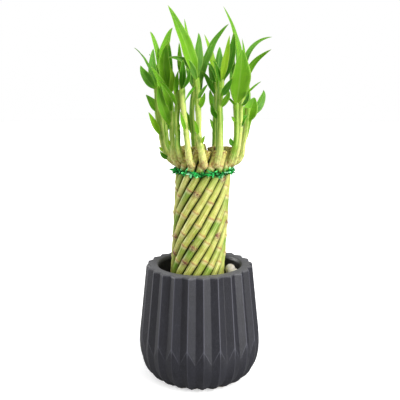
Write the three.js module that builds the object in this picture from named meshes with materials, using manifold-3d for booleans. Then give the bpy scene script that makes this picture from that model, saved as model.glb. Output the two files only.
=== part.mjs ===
// Lucky bamboo: a twisted bundle of canes with leafy shoots, tied with tinsel, in a pleated pot.
// Millimetres, +Z up. The origin is the middle of the pot's flat foot, and the front looks along -Y.

import * as THREE from 'three';
import { mergeVertices } from 'three/addons/utils/BufferGeometryUtils.js';
import Module from 'manifold-3d';

const wasm = await Module();
wasm.setup();

// Driving dimensions

const FIT_GAP = 0.3; // between pieces that touch

const POT = {
  height: 121,
  pleats: 24,
  firstRidge: -86, // degrees round from +X, so one ridge stands 4 degrees right of the front
  footRidge: 43.5,
  footValley: 39.5,
  beltRidge: 62.6,
  beltRidgeHeight: 50,
  beltValley: 61,
  beltValleyHeight: 34,
  bellySteps: 5, // lengths of the arcs that swell from the foot to the belt
  bellyRidge: [66, 10], // radius and height of the ridge arc's handle
  bellyValley: [60, 10],
  rimRidge: 55.2,
  rimValley: 51.5,
  edgeRound: 2,
  mouth: 43.3,
};

// Radius and height of the pot's inside wall, from the mouth down to the floor
const CAVITY = [
  [42.3, 117],
  [44.4, 100],
  [48.4, 66],
  [49.4, 38],
  [43, 18],
  [38.5, 10],
];
const POT_FLOOR = 10;

const GRAVEL_TOP = 94;
const GRAVEL_DIP = 0.8; // how far the stones of the bed's surface vary

// The bundle leans to the right, and its canes run round its axis as a right-handed rope
const CANES = 16;
const BUNDLE_RADIUS = 23.7; // to the middle of each cane
const LEAN = 0.0574; // sideways travel for each millimetre of height
const LEAN_START = 150.4; // height at which the bundle's axis crosses the pot's axis
const TWIST = 1.23; // degrees round for each millimetre of height, up to the tie
const TWIST_ABOVE_TIE = 0.8;
const TIE_HEIGHT = 218;
const CANE_TURN_START = -76.4; // azimuth of the first cane at the height of the foot, degrees
const CANE_THIN = 3.5;
const CANE_THICK = 3.85;
const CANE_SIDES = 8;
const CANE_SWELL = 0.25; // extra radius at a ring
const RING_BELOW = 2.2; // how far under a ring its swelling starts
const RING_ABOVE = 1.4;
const BURIED_STEPS = [35, 62, 89]; // heights at which a cane is drawn below the gravel's surface
const BURIED_CUT = 1.1; // how far its straight lengths there pass inside its round path
const CANE_FOOT = POT_FLOOR + FIT_GAP;
const CANE_TOP = 240;
const CANE_TOP_SPREAD = 2.5;
const SHOOT_RING = 225; // the ring from which each shoot grows

// Heights of the rings on the canes whose faces show at the front, by cane number
const RINGS_SEEN = {
  8: [122, 150, 178, 202],
  9: [128, 153, 176, 199],
  10: [112, 136, 158, 180, 202],
  11: [106, 129, 145, 167, 189, 212],
  12: [104, 129, 144, 157, 173, 204],
  13: [106, 128, 149, 171, 193],
  14: [108, 130, 154, 176, 198],
  15: [102, 125, 141, 165, 190],
};

const TIE = {
  radius: 28.5, // of the wire's middle
  wire: 0.7,
  strips: 22,
  stripLength: 6.5,
  stripWidth: 2.2,
};

// Middle and half sizes of the loose stones that lie on the right, near the rim
const TOP_STONES = [
  { middle: [32.6, 9.5, 110.9], half: [5.5, 7.4, 6.6] },
  { middle: [37, -5.4, 110.6], half: [4.9, 6.6, 6] },
];
const RING_STONES = 11;

const STEM_SIDES = 6;
const STEM_SLIM = 2.7; // radius of a stem from a third of its length to its half
const STEM_TIP = 2.8; // radius at its top, where sheaths wrap it
const LEAF_THICKNESS = 1.2; // along the midrib
const LEAF_FOLD = 0.16; // how far the edges stand up, against half the width

// A leaf leaves its stem at a height, passes a middle place and ends at its tip. It has a greatest
// width, and its face is turned by some degrees from the front.
const leaf = (from, middle, tip, width, face) => ({ from, middle, tip, width, face });

// One shoot for each cane, in order round the bundle. Its stem starts inside the cane and passes
// the places of its route, and base is its radius where it leaves the cane.
const SHOOTS = [
  {
    base: 3.4,
    route: [
      [-3, 25, 230], [-5, 29, 236], [-6, 30, 245], [-7, 30, 258], [-8, 29, 271], [-7, 28, 287],
      [-4, 26, 303],
    ],
    leaves: [
      leaf(248, [-11, 31, 264], [-14, 36, 275], 7.5, 30),
      leaf(297, [-10, 29, 309], [-14, 33, 318], 7.5, 41),
      leaf(299, [-10, 42, 321], [-11, 53, 340], 10, -42),
      leaf(302, [-12, 38, 346], [-16, 54, 370], 4.8, 40),
    ],
  },
  {
    base: 3.4,
    route: [
      [-19, 20, 228], [-28, 25, 232], [-33, 27, 240], [-35, 28, 251], [-36, 29, 266],
      [-35, 30, 282], [-33, 30, 297],
    ],
    leaves: [
      leaf(252, [-33, 28, 262], [-32, 28, 271], 5, 23),
      leaf(287, [-42, 45, 299], [-51, 58, 309], 10, -40),
      leaf(295, [-39, 41, 315], [-44, 56, 330], 11, -40),
      leaf(296, [-33, 38, 319], [-35, 48, 340], 10.5, 38),
    ],
  },
  {
    base: 3.4,
    route: [
      [-22, 10, 227], [-30, 13, 232], [-35, 14, 240], [-38, 15, 252], [-39, 15, 267],
      [-38, 15, 282], [-37, 14, 299],
    ],
    leaves: [
      leaf(279, [-45, 32, 289], [-48, 48, 294], 5.5, 34),
      leaf(287, [-43, 30, 303], [-49, 43, 317], 9.5, 34),
      leaf(295, [-34.5, 17, 335], [-27, 24, 359], 11.5, -30),
      leaf(297, [-47, 18, 326], [-51, 25, 332], 5, 60),
      leaf(297, [-43.4, 20, 337], [-49.8, 24, 355], 6, 40),
    ],
  },
  {
    base: 3.4,
    route: [
      [-24, 1, 225], [-31, 1, 231], [-36, 0, 241], [-38.3, -1, 255], [-41, -2, 268], [-41.5, -2, 283],
      [-42, -2, 300],
    ],
    leaves: [
      leaf(251, [-45, -12, 266], [-49, -23, 277], 7, 40),
      leaf(276, [-47, -2, 285], [-53, 2, 293], 9, 34),
      leaf(297, [-52.5, -13, 310.5], [-56, -22, 321], 10, 35),
      leaf(298, [-53, 6, 324.5], [-66, 22, 339], 7, 62),
      leaf(299, [-46, 6, 319], [-46, 14, 338], 9, -23),
    ],
  },
  {
    base: 3.8,
    route: [
      [-20, -10, 225], [-25, -12, 232], [-26, -13, 242], [-27, -13, 254], [-27, -13, 269],
      [-28, -13, 284], [-30, -14, 298],
    ],
    leaves: [
      leaf(281, [-35, -24, 300], [-45, -36, 320], 9, 39),
      leaf(262, [-36, -22, 284], [-39, -26, 302], 9.5, 10),
      leaf(274, [-31, -24, 290], [-36, -30, 304], 6.5, 25),
      leaf(293, [-26, -22, 307], [-28, -29, 320], 6.5, 25),
      leaf(296, [-34, -25, 322], [-30, -30, 340], 12.5, 23),
      leaf(297, [-29, -17, 324], [-29, -26, 343], 6.5, 28),
    ],
  },
  {
    base: 3.4,
    route: [
      [-17, -19, 231], [-19, -23, 237], [-21, -24, 245], [-21, -24, 255], [-22, -24, 270],
      [-21, -24, 284], [-22, -24, 298],
    ],
    leaves: [
      leaf(258, [-20, -30, 263], [-18, -35, 267], 3, 30),
      leaf(281, [-27, -37, 297], [-38, -52, 308], 6.5, -39),
      leaf(291, [-22.3, -31, 305], [-19.5, -38, 316], 5.5, 27),
    ],
  },
  {
    base: 4,
    route: [
      [-8, -26, 227], [-10, -29, 234], [-11, -30, 243], [-12.5, -30, 256], [-14, -30, 270],
      [-15.2, -30, 281], [-16.3, -29, 296], [-16.8, -28, 309],
    ],
    leaves: [
      leaf(257, [-16, -37, 269], [-18, -41, 279], 4.5, 30),
      leaf(297, [-11.5, -41, 310], [-9, -52, 318], 8, 41),
      leaf(296, [-16, -38, 313], [-15, -46, 326], 7, 26),
      leaf(305, [-18.8, -28, 325], [-19, -30, 342], 6.5, 35),
    ],
  },
  {
    base: 4.3,
    route: [
      [4, -26, 226], [3, -30, 233], [1.4, -31, 243], [-0.6, -31, 253], [-0.7, -31, 268], [-1.5, -30, 284],
      [-2, -29, 300], [-3, -28, 309],
    ],
    leaves: [
      leaf(245, [3, -35, 252], [5, -37, 256], 3.5, 20),
      leaf(253, [-3, -37, 264], [-5, -41, 271], 4, 20),
      leaf(280, [3, -35, 288], [5, -38, 296], 5.5, -25),
      leaf(289, [2, -37, 297], [8, -40, 304], 4.5, 31),
      leaf(302, [-9, -39, 296], [-14, -44, 287], 3, 50),
      leaf(304, [-11, -38, 323], [-29, -39, 328], 6.5, 10),
      leaf(306, [-12.7, -41, 339], [-28, -53, 373], 12.8, 29),
      leaf(308, [-1.5, -24, 333], [-1, -25, 351], 10.5, 38),
    ],
  },
  {
    base: 4,
    route: [
      [16, -26, 227], [18, -29, 234], [20, -30, 243], [20, -30, 256], [20, -30, 270],
      [19, -30, 284], [20, -29, 298], [21, -28, 311],
    ],
    leaves: [
      leaf(280, [25, -36, 291], [27, -41, 298], 6.5, 23),
      leaf(292, [26.5, -45, 301], [30, -59, 310], 7.5, -34),
      leaf(302, [16, -39, 317], [12, -50, 325], 5, 36),
      leaf(304, [23.5, -42, 327], [27, -52, 347], 7.5, 26),
      leaf(304, [29, -37, 328], [31, -45, 350], 9, -20),
    ],
  },
  {
    base: 3.2,
    route: [
      [19, -13, 234], [19, -10, 239], [18.8, -9, 251], [18.8, -8, 269], [18.8, -6, 283], [18.8, -4, 298],
    ],
    leaves: [
      leaf(269, [14, -13, 277], [12, -17, 286], 6.5, -34),
      leaf(296, [19, 0, 309], [22, 3, 321], 8.5, 36),
      leaf(297, [26, 3, 317], [31, 5, 334], 7.5, -32),
    ],
  },
  {
    base: 3.8,
    route: [
      [29, -12, 226], [32, -14, 233], [34.5, -15, 242], [36, -15, 253], [36, -15, 267],
      [35.5, -15, 281], [36, -14, 294],
    ],
    leaves: [
      leaf(243, [31, -17, 248], [30, -18, 252], 5, 0),
      leaf(266, [33, -18, 270], [31, -20, 273], 3, 20),
      leaf(281, [30, -19, 288], [25, -23, 292], 3, 50),
      leaf(283, [38, -31, 312], [39, -39, 335], 19.5, 12),
      leaf(290, [31, -15, 314], [34.5, -17, 338], 7.5, 31),
      leaf(292, [37, -19, 334], [22.3, -23, 375], 7.5, 45),
    ],
  },
  {
    base: 3.6,
    route: [
      [33, -3, 225], [36, -5, 233], [38, -6, 241], [39.3, -7, 252], [40.3, -7, 267], [40, -7, 280],
      [42, -6, 292],
    ],
    leaves: [
      leaf(259, [42, -8, 268], [47, -6, 273], 7.5, -36),
      leaf(282, [45, -19, 289], [46, -27, 297], 5, 23),
      leaf(290, [50, -8, 299], [60, -7, 306], 3.5, 60),
      leaf(291, [39, -6, 321], [35, -9, 344], 8.5, 29),
      leaf(291, [43, 3, 325], [42, 13, 348], 7.5, 50),
      leaf(291, [47, -8, 332], [69.5, -10, 348], 5.5, -20),
      leaf(291, [47, -9, 317], [68, -20, 336], 8, 35),
    ],
  },
  {
    base: 3.6,
    route: [
      [32, 9, 224], [39, 9, 226], [43, 9, 233], [44, 9, 242], [46, 8, 254], [47, 7, 266],
      [48, 6, 280],
    ],
    leaves: [
      leaf(232, [43, 8, 237], [46, 7, 240], 3, 0),
      leaf(264, [51.5, 6, 279], [55, 10, 290], 14.5, -8),
      leaf(279, [44, 16, 303], [39, 24, 323], 12, 36),
    ],
  },
  {
    base: 3.4,
    route: [
      [27, 19, 228], [36, 22, 233], [42, 23, 240], [47, 23, 249], [50, 22, 262], [53, 21, 275],
    ],
    leaves: [
      leaf(269, [63, 25, 286], [66, 32, 297], 9.5, 33),
      leaf(273, [57, 38, 282], [60, 53, 288], 9.5, -37),
      leaf(273, [48.5, 35, 293], [45, 47, 311], 10, -32),
      leaf(274, [48, 33, 303], [50, 45, 326], 9.5, -27),
    ],
  },
  {
    base: 3.4,
    route: [
      [15, 25, 230], [15.8, 29, 237], [16, 30, 247], [16, 30, 261], [17, 30, 277], [17.5, 29, 292],
      [17.5, 28, 305],
    ],
    leaves: [
      leaf(252, [13, 28, 262], [11, 29, 267], 4, 20),
      leaf(274, [13, 33, 287], [11, 39, 297], 6.5, -26),
      leaf(289, [10, 23, 306], [2, 19, 316], 6, -32),
      leaf(291, [12.5, 28, 309], [9.8, 31, 324], 6, 27),
      leaf(301, [24, 46, 319], [28, 62, 338], 11, 37),
      leaf(303, [12, 20, 319], [6, 19, 324], 5, 60),
      leaf(304, [12, 31, 330], [5, 35, 353], 8, 37),
      leaf(304, [19.5, 35, 325], [21, 42, 341], 10, 23),
    ],
  },
  {
    base: 3.4,
    route: [
      [5, 27, 230], [2, 30, 237], [0, 31, 247], [-1, 31, 264], [-1, 31, 282], [-1, 31, 297],
    ],
    leaves: [
      leaf(291, [-3, 46, 299], [-6, 61, 311], 9, 31),
      leaf(295, [0, 40, 301], [4, 50, 310], 6.5, 42),
      leaf(296, [9, 20, 336], [29, 15, 362], 9.8, 39),
      leaf(296, [0, 48, 324], [-4, 65, 343], 10, -30),
    ],
  },
];

// Colours and finishes

const finish = (color, roughness) =>
  new THREE.MeshStandardMaterial({ color, roughness, metalness: 0 });
const POT_GREY = finish(0x4a4b4f, 0.75);
const GRAVEL_GREY = finish(0xb9b2a2, 0.9);
const STONE_WHITE = finish(0xe4dfd0, 0.6);
const CANE_GREEN = finish(0xc3c266, 0.45);
const LEAF_GREEN = finish(0x6aa52e, 0.45);
const TINSEL_GREEN = finish(0x1fae4a, 0.25);

const radians = THREE.MathUtils.degToRad;

// A seeded draw from 0 to 1, so that each build gives the same plant
function drawer(seed) {
  let state = seed;
  return () => {
    state = (state * 1664525 + 1013904223) % 4294967296;
    return state / 4294967296;
  };
}

// Closed skin over rings of points, closed by a fan to one point at each end. The points of a ring
// run anticlockwise about the way that the rings go. Diagonals mirror each other from one strip to
// the next, so both faces of a thin blade are split alike.
function skin(rings, startPoint, endPoint) {
  const count = rings[0].length;
  const places = [startPoint, ...rings.flat(), endPoint];
  const last = places.length - 1;
  const at = (ring, step) => 1 + ring * count + (step % count);
  const index = [];
  for (let step = 0; step < count; step += 1) {
    index.push(0, at(0, step + 1), at(0, step));
    index.push(last, at(rings.length - 1, step), at(rings.length - 1, step + 1));
  }
  for (let ring = 0; ring + 1 < rings.length; ring += 1) {
    for (let step = 0; step < count; step += 1) {
      const corners = [at(ring, step), at(ring, step + 1), at(ring + 1, step + 1), at(ring + 1, step)];
      const [a, b, c, d] = corners;
      if (step % 2 === 0) index.push(a, b, c, a, c, d);
      else index.push(a, b, d, b, c, d);
    }
  }
  const geometry = new THREE.BufferGeometry();
  const numbers = places.flatMap((place) => place.toArray());
  geometry.setAttribute('position', new THREE.Float32BufferAttribute(numbers, 3));
  geometry.setIndex(index);
  return geometry;
}

function toSolid(geometry) {
  const bare = geometry.clone();
  bare.deleteAttribute('normal');
  bare.deleteAttribute('uv');
  const merged = mergeVertices(bare, 1e-4);
  const mesh = new wasm.Mesh({
    numProp: 3,
    vertProperties: new Float32Array(merged.attributes.position.array),
    triVerts: new Uint32Array(merged.index.array),
  });
  return new wasm.Manifold(mesh);
}

function toGeometry(solid) {
  const mesh = solid.getMesh();
  const geometry = new THREE.BufferGeometry();
  geometry.setAttribute('position', new THREE.Float32BufferAttribute(mesh.vertProperties, 3));
  geometry.setIndex(Array.from(mesh.triVerts));
  return geometry;
}

// Only the largest body of a cut solid is kept, so no loose scrap stays beside it
function largestBody(solid) {
  const bodies = solid.decompose();
  return bodies.reduce((best, body) => (body.volume() > best.volume() ? body : best));
}

// The pot

// A ring of the pleated outside: ridges and valleys by turns, each with its own radius and height
function pleatRing(ridge, ridgeHeight, valley, valleyHeight) {
  const ring = [];
  for (let step = 0; step < 2 * POT.pleats; step += 1) {
    const isRidge = step % 2 === 0;
    const radius = isRidge ? ridge : valley;
    const turn = radians(POT.firstRidge + (180 / POT.pleats) * step);
    const height = isRidge ? ridgeHeight : valleyHeight;
    ring.push(new THREE.Vector3(radius * Math.cos(turn), radius * Math.sin(turn), height));
  }
  return ring;
}

const roundRing = (radius, height) => pleatRing(radius, height, radius, height);

// The rings between foot and belt, where ridges and valleys follow one quadratic arc each
function bellyRings() {
  const point = (radius, height) => new THREE.Vector2(radius, height);
  const arc = (foot, handle, belt, height) =>
    new THREE.QuadraticBezierCurve(point(foot, POT.edgeRound / 2), point(...handle), point(belt, height));
  const ridges = arc(POT.footRidge, POT.bellyRidge, POT.beltRidge, POT.beltRidgeHeight);
  const valleys = arc(POT.footValley, POT.bellyValley, POT.beltValley, POT.beltValleyHeight);
  const rings = [];
  for (let step = 1; step < POT.bellySteps; step += 1) {
    const ridge = ridges.getPoint(step / POT.bellySteps);
    const valley = valleys.getPoint(step / POT.bellySteps);
    rings.push(pleatRing(ridge.x, ridge.y, valley.x, valley.y));
  }
  return rings;
}

function potGeometry() {
  const round = POT.edgeRound;
  const top = POT.height;
  const rings = [
    pleatRing(POT.footRidge - round / 2, 0, POT.footValley - round / 2, 0),
    pleatRing(POT.footRidge, round / 2, POT.footValley, round / 2),
    ...bellyRings(),
    pleatRing(POT.beltRidge, POT.beltRidgeHeight, POT.beltValley, POT.beltValleyHeight),
    pleatRing(POT.rimRidge, top - round, POT.rimValley, top - round),
    pleatRing(POT.rimRidge - round * 0.3, top - round * 0.3, POT.rimValley - round * 0.3, top - round * 0.3),
    pleatRing(POT.rimRidge - round, top, POT.rimValley - round, top),
    roundRing(POT.mouth + round / 2, top),
    roundRing(POT.mouth, top - round / 2),
    ...CAVITY.map(([radius, height]) => roundRing(radius, height)),
  ];
  return skin(rings, new THREE.Vector3(0, 0, 0), new THREE.Vector3(0, 0, POT_FLOOR));
}

// The bundle of canes

const axisAt = (height) => LEAN * (height - LEAN_START);

function caneTurn(cane, height) {
  const below = Math.min(height, TIE_HEIGHT);
  const above = Math.max(height - TIE_HEIGHT, 0);
  return radians(CANE_TURN_START - 90 + (360 / CANES) * cane + TWIST * below + TWIST_ABOVE_TIE * above);
}

function caneMiddle(cane, height) {
  const turn = caneTurn(cane, height);
  return new THREE.Vector3(
    axisAt(height) + BUNDLE_RADIUS * Math.cos(turn),
    BUNDLE_RADIUS * Math.sin(turn),
    height,
  );
}

// A ring of the cane's skin, square to its run. A flat one is slid along the run to one height.
function caneRing(cane, height, radius, flat) {
  const middle = caneMiddle(cane, height);
  const run = caneMiddle(cane, height + 1).sub(caneMiddle(cane, height - 1)).normalize();
  const outward = new THREE.Vector3(Math.cos(caneTurn(cane, height)), Math.sin(caneTurn(cane, height)), 0);
  const side = run.clone().cross(outward).normalize();
  const front = side.clone().cross(run);
  const ring = [];
  for (let step = 0; step < CANE_SIDES; step += 1) {
    const turn = (2 * Math.PI * (step + 0.5)) / CANE_SIDES;
    const point = middle.clone();
    point.addScaledVector(front, radius * Math.cos(turn)).addScaledVector(side, radius * Math.sin(turn));
    if (flat) point.addScaledVector(run, (height - point.z) / run.z);
    ring.push(point);
  }
  return ring;
}

function ringHeights(cane) {
  if (RINGS_SEEN[cane + 1]) return [...RINGS_SEEN[cane + 1], SHOOT_RING];
  const draw = drawer(40 + cane);
  const heights = [];
  for (let height = 100 + 14 * draw(); height < 208; height += 20 + 10 * draw()) heights.push(height);
  return [...heights, SHOOT_RING];
}

function caneSize(cane) {
  const draw = drawer(900 + 7 * cane);
  draw();
  return {
    radius: CANE_THIN + (CANE_THICK - CANE_THIN) * draw(),
    top: CANE_TOP + CANE_TOP_SPREAD * (draw() - 0.5),
  };
}

function caneGeometry(cane, extra = 0, foot = CANE_FOOT) {
  const { radius, top } = caneSize(cane);
  const size = radius + extra;
  const end = top + 4 * extra;
  const rings = [caneRing(cane, foot, size, true)];
  for (const height of BURIED_STEPS) {
    if (height > foot) rings.push(caneRing(cane, height, size, false));
  }
  for (const height of ringHeights(cane)) {
    if (height - RING_BELOW < foot + 1) continue;
    rings.push(caneRing(cane, height - RING_BELOW, size, false));
    rings.push(caneRing(cane, height, size + CANE_SWELL, false));
    rings.push(caneRing(cane, height + RING_ABOVE, size, false));
  }
  rings.push(caneRing(cane, end, size, true));
  return skin(rings, caneMiddle(cane, foot), caneMiddle(cane, end));
}

// The leafy shoots

// The blade's width from its clasping base, at 0, to its tip, at 1, against its greatest width
const bladeWidth = (along) => 0.1 * (1 - along) ** 2 + Math.sin(Math.PI * along ** 0.8) ** (1.5 - 0.8 * along);

function bladeSolid(start, blade) {
  const middle = new THREE.Vector3(...blade.middle);
  const tip = new THREE.Vector3(...blade.tip);
  const bend = middle.clone().multiplyScalar(2).addScaledVector(start, -0.5).addScaledVector(tip, -0.5);
  const rib = new THREE.QuadraticBezierCurve3(start, bend, tip);
  const faceWay = new THREE.Vector3(Math.sin(radians(blade.face)), -Math.cos(radians(blade.face)), 0);
  const stations = blade.width < 5 ? [0.02, 0.35, 0.75] : [0.02, 0.2, 0.42, 0.66, 0.86];
  const rings = stations.map((along) => {
    const run = rib.getTangent(along);
    const across = run.clone().cross(faceWay).normalize();
    const up = run.clone().cross(across).normalize();
    const half = (blade.width / 2) * bladeWidth(along);
    const middlePoint = rib.getPoint(along);
    const side = (sign) =>
      middlePoint.clone().addScaledVector(across, sign * half).addScaledVector(up, -half * LEAF_FOLD);
    const ribPoint = (sign) => middlePoint.clone().addScaledVector(up, (sign * LEAF_THICKNESS) / 2);
    return [side(1), ribPoint(1), side(-1), ribPoint(-1)];
  });
  return toSolid(skin(rings, rib.getPoint(0), rib.getPoint(0.995)));
}

function shootGeometry(cane, sleeves) {
  const shoot = SHOOTS[cane];
  const places = shoot.route.map((place) => new THREE.Vector3(...place));
  const route = new THREE.CatmullRomCurve3([caneMiddle(cane, places[0].z), ...places]);
  const steps = places.length + 1;
  const frames = route.computeFrenetFrames(steps, false);
  const rings = [];
  for (let step = 0; step <= steps; step += 1) {
    const along = step / steps;
    const fromBase = Math.min(along / 0.35, 1);
    const toTip = Math.max(along - 0.5, 0) / 0.5;
    const radius = shoot.base + (STEM_SLIM - shoot.base) * fromBase - (STEM_SLIM - STEM_TIP) * toTip;
    const middle = route.getPointAt(along);
    const ring = [];
    for (let side = 0; side < STEM_SIDES; side += 1) {
      const turn = (2 * Math.PI * side) / STEM_SIDES;
      const point = middle.clone().addScaledVector(frames.normals[step], radius * Math.cos(turn));
      ring.push(point.addScaledVector(frames.binormals[step], radius * Math.sin(turn)));
    }
    rings.push(ring);
  }
  let solid = toSolid(skin(rings, route.getPointAt(0), route.getPointAt(1)));
  for (const blade of shoot.leaves) {
    solid = solid.add(bladeSolid(placeAtHeight(route, blade.from), blade));
  }
  for (const sleeve of sleeves) solid = solid.subtract(sleeve);
  return toGeometry(largestBody(solid));
}

// The place on a rising route that is at a height
function placeAtHeight(route, height) {
  const points = route.getPoints(60);
  return points.reduce((best, point) =>
    (Math.abs(point.z - height) < Math.abs(best.z - height) ? point : best)).clone();
}

// The gravel: a bed with a plain hole in which the bundle stands, and a core inside the bundle

// An upright drum round the bundle's leaning axis
function drum(radius, bottom, top) {
  const ring = (height) => Array.from({ length: POT.pleats }, (unused, step) => {
    const turn = (2 * Math.PI * step) / POT.pleats;
    return new THREE.Vector3(axisAt(height) + radius * Math.cos(turn), radius * Math.sin(turn), height);
  });
  const middle = (height) => new THREE.Vector3(axisAt(height), 0, height);
  return toSolid(skin([bottom, top].map(ring), middle(bottom), middle(top)));
}

function coreGeometry() {
  const radius = BUNDLE_RADIUS - CANE_THICK - BURIED_CUT - FIT_GAP;
  return toGeometry(drum(radius, POT_FLOOR + FIT_GAP, GRAVEL_TOP - GRAVEL_DIP));
}

function gravelGeometry() {
  const draw = drawer(5);
  const wall = CAVITY.filter(([, height]) => height < GRAVEL_TOP).reverse();
  const [[belowRadius, belowHeight], [aboveRadius, aboveHeight]] = [CAVITY[2], CAVITY[1]];
  const share = (GRAVEL_TOP - belowHeight) / (aboveHeight - belowHeight);
  const topRadius = belowRadius + (aboveRadius - belowRadius) * share;
  const bed = (radius, height, dip) => roundRing(radius - 0.4, height)
    .filter((point, step) => step % 2 === 0)
    .map((point) => point.setZ(point.z - dip * draw()));
  const rings = [
    ...wall.map(([radius, height], step) => bed(radius, step === 0 ? height + FIT_GAP : height, 0)),
    bed(topRadius, GRAVEL_TOP, GRAVEL_DIP),
    bed(topRadius - 7, GRAVEL_TOP, GRAVEL_DIP),
  ];
  const foot = new THREE.Vector3(0, 0, POT_FLOOR + FIT_GAP);
  const solid = toSolid(skin(rings, foot, new THREE.Vector3(0, 0, GRAVEL_TOP)));
  const hole = drum(BUNDLE_RADIUS + CANE_THICK + 2 * FIT_GAP, 0, POT.height);
  return toGeometry(largestBody(solid.subtract(hole)));
}

// Loose stones

// A worn stone round its middle, lowered so that its lowest point is at a rest height if one is given
function stoneGeometry({ middle, half, rest }, seed) {
  const draw = drawer(seed);
  const ball = new THREE.IcosahedronGeometry(1, 1);
  ball.deleteAttribute('normal');
  ball.deleteAttribute('uv');
  const stone = mergeVertices(ball, 1e-4);
  const place = stone.attributes.position;
  for (let vertex = 0; vertex < place.count; vertex += 1) {
    const swell = 0.93 + 0.07 * draw();
    place.setXYZ(vertex, place.getX(vertex) * swell, place.getY(vertex) * swell, place.getZ(vertex) * swell);
  }
  stone.scale(...half);
  stone.rotateZ(Math.atan2(middle[1], middle[0]));
  stone.computeBoundingBox();
  stone.translate(middle[0], middle[1], rest ? rest - stone.boundingBox.min.z : middle[2]);
  return stone;
}

// The stones that lie on the bed, round the bundle
function ringStones() {
  const draw = drawer(77);
  const stones = [];
  for (let stone = 0; stone < RING_STONES; stone += 1) {
    const turn = (2 * Math.PI * (stone + 0.15 * draw())) / RING_STONES + 0.35;
    const room = 7 + 1.45 * Math.cos(turn);
    const radius = 36.4 - 1.45 * Math.cos(turn);
    const half = [room * (0.86 + 0.1 * draw()), 7.6 + 0.9 * draw(), 4.8 + 1.3 * draw()];
    const middle = [radius * Math.cos(turn), radius * Math.sin(turn)];
    stones.push({ middle, half, rest: GRAVEL_TOP + FIT_GAP / 3 });
  }
  return stones;
}

// The tie: a wire round the bundle with strips of tinsel twisted into it

function tieGeometry() {
  const draw = drawer(2024);
  const centre = axisAt(TIE_HEIGHT);
  const along = (turn, radius, height) => new THREE.Vector3(
    centre + radius * Math.cos(turn), radius * Math.sin(turn), TIE_HEIGHT + height);
  const wire = new THREE.TorusGeometry(TIE.radius, TIE.wire, 5, 28);
  wire.translate(centre, 0, TIE_HEIGHT);
  let solid = toSolid(wire);
  for (let strip = 0; strip < TIE.strips; strip += 1) {
    const turn = (2 * Math.PI * (strip + 0.6 * draw())) / TIE.strips;
    const reach = (TIE.stripLength / 2) * (0.7 + 0.5 * draw());
    const slant = (draw() - 0.5) * 0.16;
    const outward = 0.5 + 1.8 * draw();
    const rise = draw() > 0.5 ? 1 : -1;
    const start = along(turn - slant, TIE.radius + 0.3 * draw(), -rise * reach * 0.6);
    const end = along(turn + slant, TIE.radius + outward, rise * reach);
    const run = end.clone().sub(start).normalize();
    const across = new THREE.Vector3(-Math.sin(turn), Math.cos(turn), 0).cross(run).cross(run).normalize();
    const thick = run.clone().cross(across);
    const ring = (place) => [[1, 0], [0, 1], [-1, 0], [0, -1]].map(([wide, deep]) =>
      place.clone().addScaledVector(across, (wide * TIE.stripWidth) / 2).addScaledVector(thick, deep * 0.35));
    solid = solid.add(toSolid(skin([ring(start), ring(end)], start, end)));
  }
  return toGeometry(largestBody(solid));
}

// The whole plant

const plant = new THREE.Group();

function place(name, geometry, material) {
  const mesh = new THREE.Mesh(geometry, material);
  mesh.name = name;
  plant.add(mesh);
}

const numbered = (name, number) => `${name}_${String(number).padStart(2, '0')}`;

place('pot', potGeometry(), POT_GREY);
place('gravel_bed', gravelGeometry(), GRAVEL_GREY);
place('gravel_core', coreGeometry(), GRAVEL_GREY);
[...ringStones(), ...TOP_STONES].forEach((stone, index) => {
  place(numbered('pebble', index + 1), stoneGeometry(stone, 300 + index), STONE_WHITE);
});

const sleeves = SHOOTS.map((shoot, cane) => toSolid(caneGeometry(cane, FIT_GAP, TIE_HEIGHT - 8)));
for (let cane = 0; cane < CANES; cane += 1) {
  place(numbered('cane', cane + 1), caneGeometry(cane), CANE_GREEN);
  place(numbered('shoot', cane + 1), shootGeometry(cane, sleeves), LEAF_GREEN);
}
place('tinsel_tie', tieGeometry(), TINSEL_GREEN);

export default plant;
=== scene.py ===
# %% [markdown]
# A lucky bamboo in a pleated pot.
# The plant is a bundle of sixteen canes, twisted like a rope and tied with green tinsel. Each cane
# carries one leafy shoot, and the bundle stands in gravel in a dark ceramic pot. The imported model
# gives every piece its place and size. This lesson gives each one its finished shape and surface.

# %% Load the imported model
import math

import bmesh
import bpy
from mathutils import Matrix, Vector, noise


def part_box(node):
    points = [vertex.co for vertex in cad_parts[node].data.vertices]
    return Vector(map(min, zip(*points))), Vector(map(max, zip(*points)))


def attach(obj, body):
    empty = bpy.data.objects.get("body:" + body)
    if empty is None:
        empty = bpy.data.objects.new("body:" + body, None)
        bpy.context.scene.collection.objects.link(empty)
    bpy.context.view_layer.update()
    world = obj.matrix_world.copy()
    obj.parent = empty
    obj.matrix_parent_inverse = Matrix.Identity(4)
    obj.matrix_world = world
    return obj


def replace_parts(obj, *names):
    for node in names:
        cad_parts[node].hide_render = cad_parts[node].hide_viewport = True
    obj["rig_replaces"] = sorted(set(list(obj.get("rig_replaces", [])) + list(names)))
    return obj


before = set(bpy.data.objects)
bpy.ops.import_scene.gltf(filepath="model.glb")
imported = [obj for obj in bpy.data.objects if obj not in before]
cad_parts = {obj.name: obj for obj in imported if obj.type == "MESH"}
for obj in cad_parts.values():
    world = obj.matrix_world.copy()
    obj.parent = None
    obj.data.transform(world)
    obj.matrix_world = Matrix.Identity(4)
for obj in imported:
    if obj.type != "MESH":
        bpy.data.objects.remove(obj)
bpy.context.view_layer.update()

MM = 0.001  # sizes below are in millimetres, and Blender's unit is the metre

# %% [markdown]
# The camera comes first, so that every later piece can be judged through it. It stands about
# 67 cm away, as high up as the leaves, and looks down by 10.6 degrees. Its lens follows from how
# large the pot looks at that distance.

# %% Camera
PICTURE_SIDE = 400  # pixels
FOCAL_LENGTH = 667  # in the same pixels
SENSOR_WIDTH = 36
CAMERA_PLACE = (0.5, -667, 312)
LOOK_DOWN = 10.6  # degrees

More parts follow.
